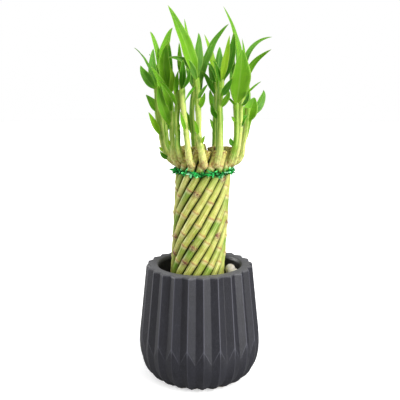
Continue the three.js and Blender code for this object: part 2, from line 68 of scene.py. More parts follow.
scene = bpy.context.scene
lens = bpy.data.cameras.new("camera")
lens.sensor_width = SENSOR_WIDTH
lens.lens = FOCAL_LENGTH * SENSOR_WIDTH / PICTURE_SIDE
camera = bpy.data.objects.new("camera", lens)
camera.location = Vector(CAMERA_PLACE) * MM
camera.rotation_euler = (math.radians(90 - LOOK_DOWN), 0, 0)
scene.collection.objects.link(camera)
scene.camera = camera
scene.view_settings.view_transform = "Standard"
print(f"lens {lens.lens:.1f} mm")

# %% [markdown]
# Node trees are built the same way for shaders and for geometry: add a node, set its options, then
# give each input a value or a link. One small helper does all three, so each tree below reads as a
# list of steps. Sums, products, ranges and noise come up all the time, so each has a short helper.

# %% Helpers for nodes
def put(tree, kind, inputs=None, **options):
    """Adds a node. An input is named by its label or number, and holds a value or another socket."""
    node = tree.nodes.new(kind)
    for option, value in options.items():
        setattr(node, option, value)
    for label, value in (inputs or {}).items():
        if isinstance(value, bpy.types.NodeSocket):
            tree.links.new(value, node.inputs[label])
        else:
            node.inputs[label].default_value = value
    return node


def maths(tree, operation, *values):
    """One step of arithmetic, as a socket."""
    return put(tree, "ShaderNodeMath", dict(enumerate(values)), operation=operation).outputs[0]


def times(tree, first, second):
    """A product, as a socket."""
    return maths(tree, "MULTIPLY", first, second)


def between(tree, value, low, high, out_low=0.0, out_high=1.0):
    """The value's place between two limits, held inside the two output limits."""
    limits = {"From Min": low, "From Max": high, "To Min": out_low, "To Max": out_high}
    return put(tree, "ShaderNodeMapRange", {"Value": value, **limits}).outputs[0]


def soft_noise(tree, place, scale, detail, roughness=0.5):
    """Noise at a place, from 0 to 1 and mostly near the middle, as a socket."""
    return put(tree, "ShaderNodeTexNoise", {
        "Vector": place, "Scale": scale, "Detail": detail, "Roughness": roughness}).outputs["Fac"]


print("node helpers ready")

# %% [markdown]
# Colours are written here as they look on a screen, from 0 to 255. Shaders count in linear light,
# in which the same grey is a much smaller number, so every colour goes through one function.

# %% Helpers for colours
def linear(*channels):
    """A screen colour, 0 to 255 for each channel, in linear light: the standard screen curve."""
    shares = [channel / 255 for channel in channels]
    return tuple(share / 12.92 if share <= 0.04045 else ((share + 0.055) / 1.055) ** 2.4
                 for share in shares)


def solid(colour):
    """A linear colour with full cover, as colour sockets want it."""
    return (*colour, 1.0)


WHITE = solid(linear(255, 255, 255))
print("mid grey in linear light:", round(linear(128)[0], 3))

# %% [markdown]
# A studio for a plant on white needs soft light from above, and a key light strong enough to show
# the pot's pleats. Soft suns give the same light all over the floor, so the floor stays one pale
# tone out to its far edge. Two of the four stand low: they graze the pleats from both sides.

# %% Lights
SUNS = {
    "key_light": {"strength": 2.4, "azimuth": 52, "height": 44, "softness": 40},
    "fill_light": {"strength": 1.3, "azimuth": -40, "height": 46, "softness": 80},
    "strip_light": {"strength": 2.2, "azimuth": 50, "height": 8, "softness": 18},
    "rim_light": {"strength": 1.6, "azimuth": -112, "height": 8, "softness": 20},
}


def soft_sun(name, strength, azimuth, height, softness):
    """A sun that shines from an azimuth right of the camera's side, and from a height above it."""
    light = bpy.data.lights.new(name, "SUN")
    light.energy = strength
    light.angle = math.radians(softness)
    lamp = bpy.data.objects.new(name, light)
    turn, rise = math.radians(azimuth), math.radians(height)
    source = Vector((math.sin(turn) * math.cos(rise), -math.cos(turn) * math.cos(rise), math.sin(rise)))
    lamp.rotation_euler = source.to_track_quat("Z", "Y").to_euler()
    scene.collection.objects.link(lamp)


for name, settings in SUNS.items():
    soft_sun(name, **settings)
print("lights:", ", ".join(SUNS))

# %% [markdown]
# The sky and the floor look white to the camera but light the plant more weakly, as dark boards
# beside a studio table do, so that the charcoal pot keeps its dark facets. A light path node tells
# the two apart: it gives 1 for what the camera itself sees.

# %% Sky and floor
SKY_LIGHT, SKY_SEEN = 0.34, 1.0
FLOOR_RADIUS, FLOOR_CORNERS = 4000, 64
FLOOR_BOUNCE, FLOOR_SEEN, FLOOR_GLOW = 0.3, 0.95, 0.45
FLOOR_ROUGHNESS = 0.9

world = bpy.data.worlds.new("studio")
world.use_nodes = True
scene.world = world
sky = world.node_tree
sky.nodes.clear()
camera_ray = put(sky, "ShaderNodeLightPath").outputs["Is Camera Ray"]
lit, seen = [put(sky, "ShaderNodeBackground", {"Color": WHITE, "Strength": strength}).outputs[0]
             for strength in (SKY_LIGHT, SKY_SEEN)]
both = put(sky, "ShaderNodeMixShader", {0: camera_ray, 1: lit, 2: seen})
put(sky, "ShaderNodeOutputWorld", {"Surface": both.outputs[0]})

floor_mesh = bpy.data.meshes.new("floor")
shape = bmesh.new()
bmesh.ops.create_circle(shape, cap_ends=True, segments=FLOOR_CORNERS, radius=FLOOR_RADIUS * MM)
shape.to_mesh(floor_mesh)
shape.free()
floor = bpy.data.objects.new("floor", floor_mesh)
scene.collection.objects.link(floor)

paint = bpy.data.materials.new("pale_floor")
paint.use_nodes = True
pale = paint.node_tree
coat = pale.nodes["Principled BSDF"].inputs
camera_ray = put(pale, "ShaderNodeLightPath").outputs["Is Camera Ray"]
pale.links.new(between(pale, camera_ray, 0, 1, FLOOR_BOUNCE, FLOOR_SEEN), coat["Base Color"])
pale.links.new(times(pale, camera_ray, FLOOR_GLOW), coat["Emission Strength"])
coat["Emission Color"].default_value = WHITE
coat["Roughness"].default_value = FLOOR_ROUGHNESS
floor_mesh.materials.append(paint)
print(f"floor {2 * FLOOR_RADIUS * MM:.0f} m across")

# %% [markdown]
# Three effects appear in more than one finish, so each is a shader group, built once.
# "Grain" is the fine tooth of fired clay and stone. "Streaks" are the fibres that run along a
# cane, a stem or a blade: noise that is stretched along the piece's own length. "Patches" are slow
# changes of tone over a few centimetres. Each takes a place and its own sizes in metres.

# %% Shared shader groups
COARSE_GRAIN = 0.22  # the scale of the slow part of a grain's height, against that of its speckles


def shader_group(name, sizes, results):
    """A group that takes a place and some sizes, with the inner sockets of its inputs and results."""
    group = bpy.data.node_groups.new(name, "ShaderNodeTree")
    group.interface.new_socket("Place", in_out="INPUT", socket_type="NodeSocketVector")
    for label, size in sizes.items():
        socket = group.interface.new_socket(label, in_out="INPUT", socket_type="NodeSocketFloat")
        socket.default_value = size
    for label in results:
        group.interface.new_socket(label, in_out="OUTPUT", socket_type="NodeSocketFloat")
    return group, group.nodes.new("NodeGroupInput").outputs, group.nodes.new("NodeGroupOutput").inputs


def grain_group():
    """Speckles, and a bumpy height."""
    group, given, results = shader_group("Grain", {"Size": 0.5 * MM}, ["Speckle", "Height"])
    scale = maths(group, "DIVIDE", 1.0, given["Size"])
    fine = soft_noise(group, given["Place"], scale, detail=3.0, roughness=0.6)
    coarse = soft_noise(group, given["Place"], times(group, scale, COARSE_GRAIN), detail=2.0)
    group.links.new(between(group, fine, 0.35, 0.65), results["Speckle"])
    group.links.new(maths(group, "ADD", fine, coarse), results["Height"])
    return group


def streaks_group():
    """Fibres along a piece. Place holds the length along it, then the place across its section."""
    sizes = {"Width": 0.5 * MM, "Length": 30 * MM}
    group, given, results = shader_group("Streaks", sizes, ["Streak", "Height"])
    along, across = [maths(group, "DIVIDE", 1.0, given[label]) for label in ("Length", "Width")]
    stretch = put(group, "ShaderNodeCombineXYZ", {"X": along, "Y": across, "Z": across}).outputs[0]
    place = put(group, "ShaderNodeVectorMath", {0: given["Place"], 1: stretch}, operation="MULTIPLY")
    fibre = soft_noise(group, place.outputs[0], 1.0, detail=4.0, roughness=0.55)
    group.links.new(between(group, fibre, 0.3, 0.7), results["Streak"])
    group.links.new(fibre, results["Height"])
    return group


def patches_group():
    """A slow change from 0 to 1."""
    group, given, results = shader_group("Patches", {"Size": 20 * MM}, ["Patch"])
    scale = maths(group, "DIVIDE", 1.0, given["Size"])
    slow = soft_noise(group, given["Place"], scale, detail=2.0)
    group.links.new(between(group, slow, 0.35, 0.65), results["Patch"])
    return group


GRAIN = grain_group()
STREAKS = streaks_group()
PATCHES = patches_group()
print("groups:", GRAIN.name, STREAKS.name, PATCHES.name)

# %% [markdown]
# Each finish is one Principled shader. Its colour is laid on in thin layers, as a painter would:
# a base, then further colours, each where its own mask lets it. A mask comes from a shared group, or
# from a value that the piece's mesh carries, and a height becomes small bumps. The plain numbers in
# a list of layers, all from 0 to 1, are the limits of a mask and how strongly its colour covers.

# %% Helpers for finishes
MIX_COLOURS, MIX_RESULT = (6, 7), 2  # the colour sockets of a mix node, whose labels aren't unique


def new_finish(name, **sockets):
    """A material with one Principled shader, whose constant sockets are set directly."""
    material = bpy.data.materials.new(name)
    material.use_nodes = True
    shader = material.node_tree.nodes["Principled BSDF"]
    for label, value in sockets.items():
        shader.inputs[label.replace("_", " ")].default_value = value
    return material, material.node_tree, shader.inputs


def use_group(tree, group, **values):
    """Places a shared group with its own values, and returns its outputs."""
    return put(tree, "ShaderNodeGroup", values, node_tree=group).outputs


def object_place(tree):
    """The place on the piece, which stays with it."""
    return put(tree, "ShaderNodeTexCoord").outputs["Object"]


def patches(tree, size):
    """Slow patches of one size, fixed to the piece."""
    return use_group(tree, PATCHES, Place=object_place(tree), Size=size)["Patch"]


def carried(tree, name, output="Fac"):
    """A value that the piece's mesh carries."""
    return put(tree, "ShaderNodeAttribute", attribute_name=name).outputs[output]


def blend(tree, share, first, second, blend_type="MIX"):
    """A mix of two colours, each a linear colour or a socket."""
    colours = [solid(colour) if isinstance(colour, tuple) else colour for colour in (first, second)]
    inputs = {"Factor": share, **dict(zip(MIX_COLOURS, colours))}
    return put(tree, "ShaderNodeMix", inputs, data_type="RGBA", blend_type=blend_type).outputs[MIX_RESULT]


def layered(tree, base, *layers):
    """Colours laid over a base one after another. Each layer is a mask and its colour."""
    for mask, colour in layers:
        base = blend(tree, mask, base, colour)
    return base


def end_finish(tree, sockets, colour, roughness, height, depth, strength):
    """Links the colour, the roughness unless it is None, and relief with its depth in metres."""
    tree.links.new(colour, sockets["Base Color"])
    if roughness is not None:
        tree.links.new(roughness, sockets["Roughness"])
    bump = put(tree, "ShaderNodeBump", {"Height": height, "Distance": depth, "Strength": strength})
    tree.links.new(bump.outputs[0], sockets["Normal"])


print("finish helpers ready")

# %% [markdown]
# The pot is matt charcoal clay, fired without a glaze. From nearby it has a fine tooth, and chalky
# spots round the foot, which stood on the kiln shelf. Its ridges are slightly paler, partly rubbed
# and partly painted highlight, and the top of the rim is much paler with painted highlight. The mesh
# carries how near a point is to a ridge, to the rim's top and to the foot. The inside is darkened
# with painted shade, found without a mask of its own: there the surface faces back to the pot's axis.

# %% Pot finish
CHARCOAL = linear(18, 18, 25)
CHARCOAL_PALE = linear(27, 27, 36)
PALE_GRAIN_AND_HIGHLIGHT = linear(92, 92, 102)
# painted highlight on top of the rim, where light from above falls
RIM_HIGHLIGHT = linear(108, 108, 111)
KILN_CHALK = linear(170, 158, 138)
# painted shade for the pot's inside, which is the same clay as the outside
INSIDE_PAINTED_SHADE = linear(13, 14, 16)
CLAY_TOOTH = 0.45 * MM
CLAY_CLOUDS = 14 * MM
CLAY_RELIEF = 0.12 * MM
INSIDE_FROM, INSIDE_BY = -4 * MM, -16 * MM  # a place along its own normal, which is less than 0 inside


def pot_finish():
    """Charcoal clay with ridges partly rubbed and partly painted highlight, a painted highlight on the rim,
    chalk at the foot, and painted shade inside.
    """
    material, tree, sockets = new_finish("charcoal_clay")
    place = object_place(tree)
    grain = use_group(tree, GRAIN, Place=place, Size=CLAY_TOOTH)
    speckle = grain["Speckle"]
    clouds = patches(tree, CLAY_CLOUDS)
    normal = put(tree, "ShaderNodeTexCoord").outputs["Normal"]
    outward = put(tree, "ShaderNodeVectorMath", {0: normal, 1: place}, operation="DOT_PRODUCT")
    # Painted shade: the inside, where the surface faces back to the pot's axis, is darkened.
    inside = between(tree, outward.outputs["Value"], INSIDE_FROM, INSIDE_BY)
    # Paler ridges: partly rubbed clay, partly painted highlight along each fold.
    rubbed_and_lit = between(tree, carried(tree, "ridge"), 0.88, 1.0)
    chalk = times(tree, carried(tree, "foot"), between(tree, clouds, 0.3, 0.8))
    clay = layered(
        tree, blend(tree, times(tree, clouds, 0.5), CHARCOAL, CHARCOAL_PALE),
        (between(tree, speckle, 0.55, 1, 0, 0.35), PALE_GRAIN_AND_HIGHLIGHT),
        (times(tree, rubbed_and_lit, between(tree, speckle, 0, 1, 0.45, 0.9)), PALE_GRAIN_AND_HIGHLIGHT),
        # painted highlight on top of the rim and on its inner edge
        (times(tree, carried(tree, "rim"), between(tree, speckle, 0, 1, 0.45, 0.95)), RIM_HIGHLIGHT),
        (times(tree, inside, 0.9), INSIDE_PAINTED_SHADE),
        (times(tree, chalk, 0.7), KILN_CHALK))
    rough = between(tree, speckle, 0, 1, 0.56, 0.4)
    end_finish(tree, sockets, clay, rough, grain["Height"], depth=CLAY_RELIEF, strength=0.5)
    return material


POT_FINISH = pot_finish()
print(POT_FINISH.name)

# %% [markdown]
# The stones are river pebbles: cream, worn smooth, with soft beige clouds and a few darker grains.
# The gravel below them is the same stone in smaller grains, darkened by painted shade, so both
# come from one function.

# %% Stone finishes
CREAM = linear(240, 236, 226)
BEIGE = linear(212, 202, 184)
STONE_DARK = linear(120, 108, 90)
GRAVEL_SHADED_CREAM = linear(150, 140, 122)
GRAVEL_SHADED_BEIGE = linear(96, 88, 76)
GRAVEL_SHADED_DARK = linear(60, 54, 46)
PEBBLE_CLOUDS, GRAVEL_CLOUDS = 5 * MM, 3 * MM
STONE_GRAIN = 0.35 * MM
STONE_RELIEF = 0.1 * MM


def stone_finish(name, light, shade, dark, cloud_size):
    """Worn stone with clouds of a second tone and dark grains."""
    material, tree, sockets = new_finish(name)
    grain = use_group(tree, GRAIN, Place=object_place(tree), Size=STONE_GRAIN)
    clouds = patches(tree, cloud_size)
    stone = layered(tree, blend(tree, clouds, light, shade),
                    (between(tree, grain["Speckle"], 0.8, 1, 0, 0.45), dark))
    rough = between(tree, clouds, 0, 1, 0.5, 0.75)
    end_finish(tree, sockets, stone, rough, grain["Height"], depth=STONE_RELIEF, strength=0.4)
    return material


PEBBLE_FINISH = stone_finish("worn_pebble", CREAM, BEIGE, STONE_DARK, PEBBLE_CLOUDS)
# Painted shade: the gravel's tones are darker, for the shade deep in the pot.
GRAVEL_FINISH = stone_finish("shaded_gravel", GRAVEL_SHADED_CREAM, GRAVEL_SHADED_BEIGE, GRAVEL_SHADED_DARK, GRAVEL_CLOUDS)
print(PEBBLE_FINISH.name, GRAVEL_FINISH.name)

# %% [markdown]
# A cane is yellow-green and waxy, with fine fibres along it. At each ring the skin has a thin
# scar, from pink-brown to purple, and often a greener stretch below it. The cut top has dried to a
# mottled brown. The mesh carries masks for this: scar, stain, green and dry, a cream collar under
# each scar, and "pale" for the tone of a whole cane. "Across" is 1 where a cane faces out of the
# bundle and falls to -1 inside: painted shade darkens each cane's sides, nearly black in the gaps.

# %% Cane finish
CANE_YELLOW = linear(246, 240, 158)
CANE_OLIVE = linear(164, 170, 58)
CANE_SIDE_SHADE = linear(98, 118, 26)
CANE_COLLAR = linear(244, 232, 172)
CANE_GREEN = linear(78, 138, 16)
SCAR_TAN = linear(184, 124, 82)
STAIN_PURPLE = linear(104, 44, 50)
DRY_TAN = linear(186, 178, 88)
DRY_BROWN = linear(126, 66, 36)
GAP_PAINTED_SHADE = linear(20, 24, 8)
CANE_SPECULAR = 0.32
CANE_STREAKS = {"Width": 0.7 * MM, "Length": 26 * MM}
CANE_HAIRS = {"Width": 0.28 * MM, "Length": 12 * MM}
CANE_CLOUDS, CANE_BLOTCHES, CANE_FLECKS = 9 * MM, 3.5 * MM, 1.6 * MM
CANE_RELIEF = 0.1 * MM


def cane_finish():
    """Waxy skin with fibres, the marks of rings, stains and the dried cut, and painted shade on its sides
    and in the gaps.
    """
    material, tree, sockets = new_finish("waxy_cane", Specular_IOR_Level=CANE_SPECULAR)
    fibre = carried(tree, "fibre", "Vector")
    streak = use_group(tree, STREAKS, Place=fibre, **CANE_STREAKS)
    hair = use_group(tree, STREAKS, Place=fibre, **CANE_HAIRS)
    clouds = patches(tree, CANE_CLOUDS)
    blotches = patches(tree, CANE_BLOTCHES)
    flecks = patches(tree, CANE_FLECKS)
    across, dry = carried(tree, "across"), carried(tree, "dry")
    olive = maths(tree, "ADD", between(tree, clouds, 0.2, 1, 0, 0.4),
                  between(tree, carried(tree, "pale"), 0, 1, 0.3, 0))
    dried = blend(tree, between(tree, flecks, 0.35, 0.75), DRY_TAN, DRY_BROWN)
    # Painted shade: each cane's sides darken, which makes it look round.
    edge = between(tree, across, 0.9, 0.5, 0, 0.55)
    # Painted shade, nearly black, where a cane faces into the gaps of the bundle.
    gap_shade = between(tree, across, 0.66, 0.25, 0, 0.97)
    skin = layered(
        tree, blend(tree, streak["Streak"], CANE_YELLOW, CANE_OLIVE),
        (olive, CANE_OLIVE),
        (between(tree, blotches, 0.6, 1, 0, 0.3), SCAR_TAN),
        (between(tree, hair["Streak"], 0.6, 1, 0, 0.3), CANE_GREEN),
        (times(tree, carried(tree, "green"), between(tree, streak["Streak"], 0, 1, 0.5, 1)), CANE_GREEN),
        (times(tree, carried(tree, "collar"), 0.6), CANE_COLLAR),
        (times(tree, carried(tree, "scar"), between(tree, flecks, 0, 1, 0.5, 1)), SCAR_TAN),
        (times(tree, carried(tree, "stain"), between(tree, flecks, 0.1, 0.8, 0.3, 1)), STAIN_PURPLE),
        (times(tree, dry, 0.85), dried),
        (times(tree, edge, between(tree, dry, 0, 1, 1, 0.3)), CANE_SIDE_SHADE),
        (times(tree, gap_shade, between(tree, dry, 0, 1, 1, 0.1)), GAP_PAINTED_SHADE))
    rough = maths(tree, "ADD", between(tree, streak["Streak"], 0, 1, 0.36, 0.5),
                  times(tree, carried(tree, "scar"), 0.25))
    relief = maths(tree, "ADD", hair["Height"], times(tree, streak["Height"], 0.6))
    end_finish(tree, sockets, skin, rough, relief, depth=CANE_RELIEF, strength=0.35)
    return material


CANE_FINISH = cane_finish()
print(CANE_FINISH.name)

# %% [markdown]
# A shoot has one finish for its stem and its blades, since they are one living piece. Each mesh
# point carries its own tint: stems fade from nearly white at the cane to green, and every blade
# has its tone. On top of that come fibres, and on the blades fine parallel veins, with a paler
# line along the middle and the margins. A stem is wrapped in the sheaths of its leaves, so slanted
# edges cross it: each is pale, and painted shadow darkens the stem towards the next one.

# %% Shoot finish
VEINS = 26  # pairs of light and dark lines over a blade's full width
SHEATH_GAP = 11 * MM
SHEATH_SLANT = 0.35  # of the gap, from one side of the stem to its middle
# the pale line, and the painted shadow that darkens the stem below the next edge
SHEATH_LINE, SHEATH_SHADOW = (0.0, 0.07), (0.62, 1)  # parts of the gap
EDGE_PALE = linear(172, 206, 98)
RIB_GREEN, RIB_PALE = linear(88, 142, 24), linear(214, 224, 124)
FOOT_BROWN = linear(152, 100, 50)
FOOT_MOTTLED = (8 * MM, 24 * MM)  # the mottling is full below the first length, gone by the second
MIDRIB, MARGIN = (0.02, 0.12), (0.8, 0.96)  # where each line ends or starts, of half the width
TINT_LIT, TINT_SHADED = (1.4, 1.28, 1.6), (0.62, 0.72, 0.55)  # a tint times these: its light, its shade
LEAF_SPECULAR = 0.22
LEAF_GLOW = {
    "Subsurface_Weight": 0.4, "Subsurface_Scale": 1.2 * MM, "Subsurface_Radius": (0.7, 1.0, 0.3)}
SHOOT_STREAKS = {"Width": 0.5 * MM, "Length": 22 * MM}
STEM_RIBS = {"Width": 1.6 * MM, "Length": 45 * MM}
LEAF_CLOUDS, STEM_MOTTLES = 12 * MM, 3.2 * MM
SHOOT_RELIEF = 0.12 * MM


def shoot_finish():
    """Living leaf and stem, which light enters a little."""
    material, tree, sockets = new_finish("living_leaf", Specular_IOR_Level=LEAF_SPECULAR, **LEAF_GLOW)
    fibre = carried(tree, "fibre", "Vector")
    tint = carried(tree, "tint", "Color")
    blade = carried(tree, "blade")
    stem = maths(tree, "SUBTRACT", 1.0, blade)
    across = carried(tree, "across")
    aside = maths(tree, "ABSOLUTE", across)
    length = put(tree, "ShaderNodeSeparateXYZ", {0: fibre}).outputs["X"]
    streak = use_group(tree, STREAKS, Place=fibre, **SHOOT_STREAKS)
    rib = use_group(tree, STREAKS, Place=fibre, **STEM_RIBS)["Streak"]
    clouds = patches(tree, LEAF_CLOUDS)
    mottle = patches(tree, STEM_MOTTLES)
    wave = maths(tree, "SINE", times(tree, across, VEINS * math.pi))
    vein = times(tree, between(tree, wave, -1, 1), blade)
    middle = times(tree, between(tree, aside, *MIDRIB, 1, 0), blade)
    margin = times(tree, between(tree, aside, *MARGIN), blade)
    slant = times(tree, across, SHEATH_SLANT)
    sheath = maths(tree, "FRACT", maths(tree, "ADD", maths(tree, "DIVIDE", length, SHEATH_GAP), slant))
    sheath_edge = times(tree, between(tree, sheath, *SHEATH_LINE, 1, 0), stem)
    # painted shadow below each sheath's edge
    sheath_shade = times(tree, between(tree, sheath, *SHEATH_SHADOW), stem)
    foot = times(tree, between(tree, length, *FOOT_MOTTLED, 1, 0), stem)
    light = blend(tree, 1.0, tint, TINT_LIT, "MULTIPLY")
    shade = blend(tree, 1.0, tint, TINT_SHADED, "MULTIPLY")
    green = layered(
        tree, blend(tree, streak["Streak"], shade, light),
        (between(tree, clouds, 0, 1, 0, 0.4), shade),
        (times(tree, vein, 0.5), light),
        (times(tree, middle, 0.22), EDGE_PALE),
        (times(tree, margin, 0.5), EDGE_PALE),
        (times(tree, sheath_shade, 0.6), shade),
        (times(tree, sheath_edge, 0.8), light),
        (times(tree, between(tree, rib, 0.5, 0.12, 0, 0.7), stem), RIB_PALE),
        (times(tree, between(tree, rib, 0.5, 0.9, 0, 0.65), stem), RIB_GREEN),
        (times(tree, foot, between(tree, mottle, 0.4, 1, 0, 0.6)), FOOT_BROWN))
    rough = between(tree, clouds, 0, 1, 0.42, 0.54)
    relief = maths(tree, "ADD", streak["Height"], times(tree, vein, 0.35))
    end_finish(tree, sockets, green, rough, relief, depth=SHOOT_RELIEF, strength=0.4)
    return material


SHOOT_FINISH = shoot_finish()
print(SHOOT_FINISH.name)

# %% [markdown]
# Tinsel is thin coloured foil. Every shred lies its own way, so each one catches the light, or
# turns nearly black. The mesh carries one random number for each shred, which a colour ramp turns
# into a tone of painted glint or painted shade, from nearly black to a pale glint.

# %% Tinsel finish
TINSEL_DEEP = linear(12, 118, 46)
# painted glints and painted shade for the shreds, from nearly black to a pale glint
SHRED_GLINTS_AND_SHADES = [
    (0.0, linear(2, 26, 12)),
    (0.28, TINSEL_DEEP),
    (0.5, linear(30, 192, 80)),
    (0.8, linear(84, 234, 128)),
    (1.0, linear(190, 255, 206)),
]
FOIL_ROUGHNESS, FOIL_METAL = 0.26, 0.25
FOIL_GRAIN = 0.5 * MM
FOIL_RELIEF = 0.15 * MM


def tinsel_finish():
    """Crinkled green foil, with a painted glint or painted shade for each shred."""
    material, tree, sockets = new_finish("green_foil", Roughness=FOIL_ROUGHNESS, Metallic=FOIL_METAL)
    ramp = put(tree, "ShaderNodeValToRGB", {"Fac": carried(tree, "shred")})
    stops = ramp.color_ramp.elements
    while len(stops) < len(SHRED_GLINTS_AND_SHADES):
        stops.new(0.5)
    for stop, (position, tone) in zip(stops, SHRED_GLINTS_AND_SHADES):
        stop.position = position
        stop.color = solid(tone)
    grain = use_group(tree, GRAIN, Place=object_place(tree), Size=FOIL_GRAIN)
    speckled = between(tree, grain["Speckle"], 0, 1, 0, 0.3)
    foil = blend(tree, speckled, ramp.outputs["Color"], TINSEL_DEEP)
    end_finish(tree, sockets, foil, None, grain["Height"], depth=FOIL_RELIEF, strength=0.4)
    return material


TINSEL_FINISH = tinsel_finish()
print(TINSEL_FINISH.name)

# %% [markdown]
# Geometry trees need the same few steps each time: named inputs, a run on a starting mesh, and a
# plain mesh as the result. An input is set by its socket's identifier before Blender first
# evaluates the piece, and the modifier is gone before the piece meets the frame.

# %% Helpers for geometry trees
SOCKET_KINDS = {
    int: "NodeSocketInt", float: "NodeSocketFloat", bpy.types.Material: "NodeSocketMaterial"}


def geometry_tree(name, inputs):
    """An empty geometry tree. Inputs maps each label to the kind of its value."""
    tree = bpy.data.node_groups.new(name, "GeometryNodeTree")
    tree.interface.new_socket("Geometry", in_out="INPUT", socket_type="NodeSocketGeometry")
    for label, kind in inputs.items():
        tree.interface.new_socket(label, in_out="INPUT", socket_type=SOCKET_KINDS[kind])
    tree.interface.new_socket("Geometry", in_out="OUTPUT", socket_type="NodeSocketGeometry")
    return tree, tree.nodes.new("NodeGroupInput").outputs


def joined(tree, first, second):
    """Two geometries as one."""
    both = put(tree, "GeometryNodeJoinGeometry")
    tree.links.new(first, both.inputs[0])
    tree.links.new(second, both.inputs[0])
    return both.outputs[0]


def shaded_smooth(tree, geometry):
    """The same geometry with smooth shading."""
    return put(tree, "GeometryNodeSetShadeSmooth", {"Geometry": geometry}).outputs[0]


def end_tree(tree, geometry, skin):
    """Every tree ends the same way: real geometry, one finish, out."""
    real = put(tree, "GeometryNodeRealizeInstances", {"Geometry": geometry})
    dressed = put(tree, "GeometryNodeSetMaterial", {"Geometry": real.outputs[0], "Material": skin})
    put(tree, "NodeGroupOutput", {"Geometry": dressed.outputs[0]})


def run_modifier(mesh, kind, set_up):
    """The plain mesh that one modifier makes from a starting mesh."""
    worker = bpy.data.objects.new("worker", mesh)
    scene.collection.objects.link(worker)
    set_up(worker.modifiers.new("work", kind))
    graph = bpy.context.evaluated_depsgraph_get()
    made = bpy.data.meshes.new_from_object(
        worker.evaluated_get(graph), preserve_all_data_layers=True, depsgraph=graph)
    bpy.data.objects.remove(worker)
    return made


def run_tree(tree, mesh, values):
    """The plain mesh that a geometry tree makes from a starting mesh, with a value for each input."""
    def set_up(modifier):
        """Hands the tree and its values to the modifier."""
        modifier.node_group = tree
        for socket in tree.interface.items_tree:
            if socket.in_out == "INPUT" and socket.name in values:
                modifier[socket.identifier] = values[socket.name]
    return run_modifier(mesh, "NODES", set_up)


print("geometry helpers ready")

# %% [markdown]
# Every finished piece takes the place of its solids in the frame, under its own name. Its
# triangles are counted, and so is how far it leaves the solids' box, because a finish should
# never change how large a piece is. The seeded draw is the same rule that the solids were made
# with, so rings and sizes agree with them.

# %% Helpers for finished pieces
def finish_piece(name, mesh, slot, *nodes):
    """Puts a finished mesh in the scene, in the place of the solids that it stands for."""
    mesh.name = name
    piece = bpy.data.objects.new(name, mesh)
    scene.collection.objects.link(piece)
    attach(piece, "root")
    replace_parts(piece, *nodes)
    return piece


def smooth_mesh(mesh, finish):
    """Gives a mesh smooth shading and its finish."""
    mesh.polygons.foreach_set("use_smooth", [True] * len(mesh.polygons))
    mesh.materials.append(finish)


def report(label, pieces):
    """Prints how many triangles some pieces have, and how far they leave their solids' boxes."""
    triangles = sum(sum(len(face.vertices) - 2 for face in piece.data.polygons) for piece in pieces)
    furthest = 0
    for piece in pieces:
        points = [vertex.co for vertex in piece.data.vertices]
        boxes = [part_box(node) for node in piece["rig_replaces"]]
        for axis in range(3):
            low, high = min(box[0][axis] for box in boxes), max(box[1][axis] for box in boxes)
            furthest = max(furthest, low - min(point[axis] for point in points),
                           max(point[axis] for point in points) - high)
    print(f"{label}: {len(pieces)} pieces, {triangles} triangles, at most {furthest / MM:.1f} mm outside")


DRAW_FACTOR, DRAW_STEP, DRAW_RANGE = 1664525, 1013904223, 2**32


def drawer(seed):
    """Seeded draws from 0 to 1, one after another."""
    state = seed
    while True:
        state = (state * DRAW_FACTOR + DRAW_STEP) % DRAW_RANGE
        yield state / DRAW_RANGE


print("piece helpers ready")

# %% [markdown]
# The pot's outside is a folded surface, like pleated paper. Its ridges swell in an arc from the
# foot to a belt, and run straight on to the rim. The valleys turn lower than the ridges do, which
# draws a zigzag round the belly. It is built from rings of ridge and valley points, so the foot, the
# belt and the rim each have a pair of sizes: first the ridges', then the valleys'.

# %% The pot's sizes
PLEATS = 24
RING_POINTS = 2 * PLEATS
FIRST_RIDGE = -86  # degrees round from +X
POT_HEIGHT = 121
EDGE_ROUND = 2
FOOT = (43.5, 39.5)
BELT = (62.6, 61)
BELT_HEIGHTS = (50, 34)
# The belt's pale edge is partly rubbed clay and partly painted highlight.
BELT_EDGE = 1.2  # how far above and below the belt its rubbed edge fades
BELLY_HANDLES = ((66, 10), (60, 10))  # radius and height of the handle of each arc to the belt
BELLY_STEPS = 8
RIM = (55.2, 51.5)
RIM_EDGE = 0.3  # of the edge's rounding, where the rim starts to turn in
MOUTH = 43.3
# Radius and height of each ring down the inside
CAVITY = [(42.3, 117), (44.4, 100), (48.4, 66), (49.4, 38), (43, 18), (38.5, 10)]
# How pale a ridge is there, from wear and painted highlight, where 1 is most.
BELLY_RUBBED_AND_LIT, FOOT_RUBBED_AND_LIT = 0.94, 0.9  # how rubbed a ridge is there, where 1 is most
# Painted highlight: how strong it is on the rim's inner edge and on the wall just below it.
MOUTH_HIGHLIGHT, WALL_HIGHLIGHT = 0.9, 0.7  # how pale the rim's inner edge and the wall just below it are


def pleat_ring(radii, heights):
    """Ridge and valley points by turns, each with its radius and its height."""
    ring = []
    for step in range(RING_POINTS):
        radius, height = radii[step % 2], heights[step % 2]
        turn = math.radians(FIRST_RIDGE + 360 / RING_POINTS * step)
        ring.append(Vector((radius * math.cos(turn), radius * math.sin(turn), height)))
    return ring


print(f"{PLEATS} pleats of {math.tau * BELT[0] / PLEATS:.1f} mm at the belt")

# %% [markdown]
# Each ring below comes with its masks for the finish: how pale its ridge and its valley are, partly
# rubbed and partly painted highlight, how near it is to the foot, and how near to the rim's top. Only
# the belt's own ring is pale all round, so its two neighbours stand close by and keep the pale edge thin.

# %% The pot's rings
def drawn_in(radii, by):
    """The same radii, nearer the axis."""
    return tuple(radius - by for radius in radii)


def outside(radii, heights, ridge, foot=0.0, rim=0.0):
    """A pleated ring with its masks. Its valleys are never rubbed or given a painted highlight."""
    return pleat_ring(radii, heights), (ridge, 0.0), foot, rim


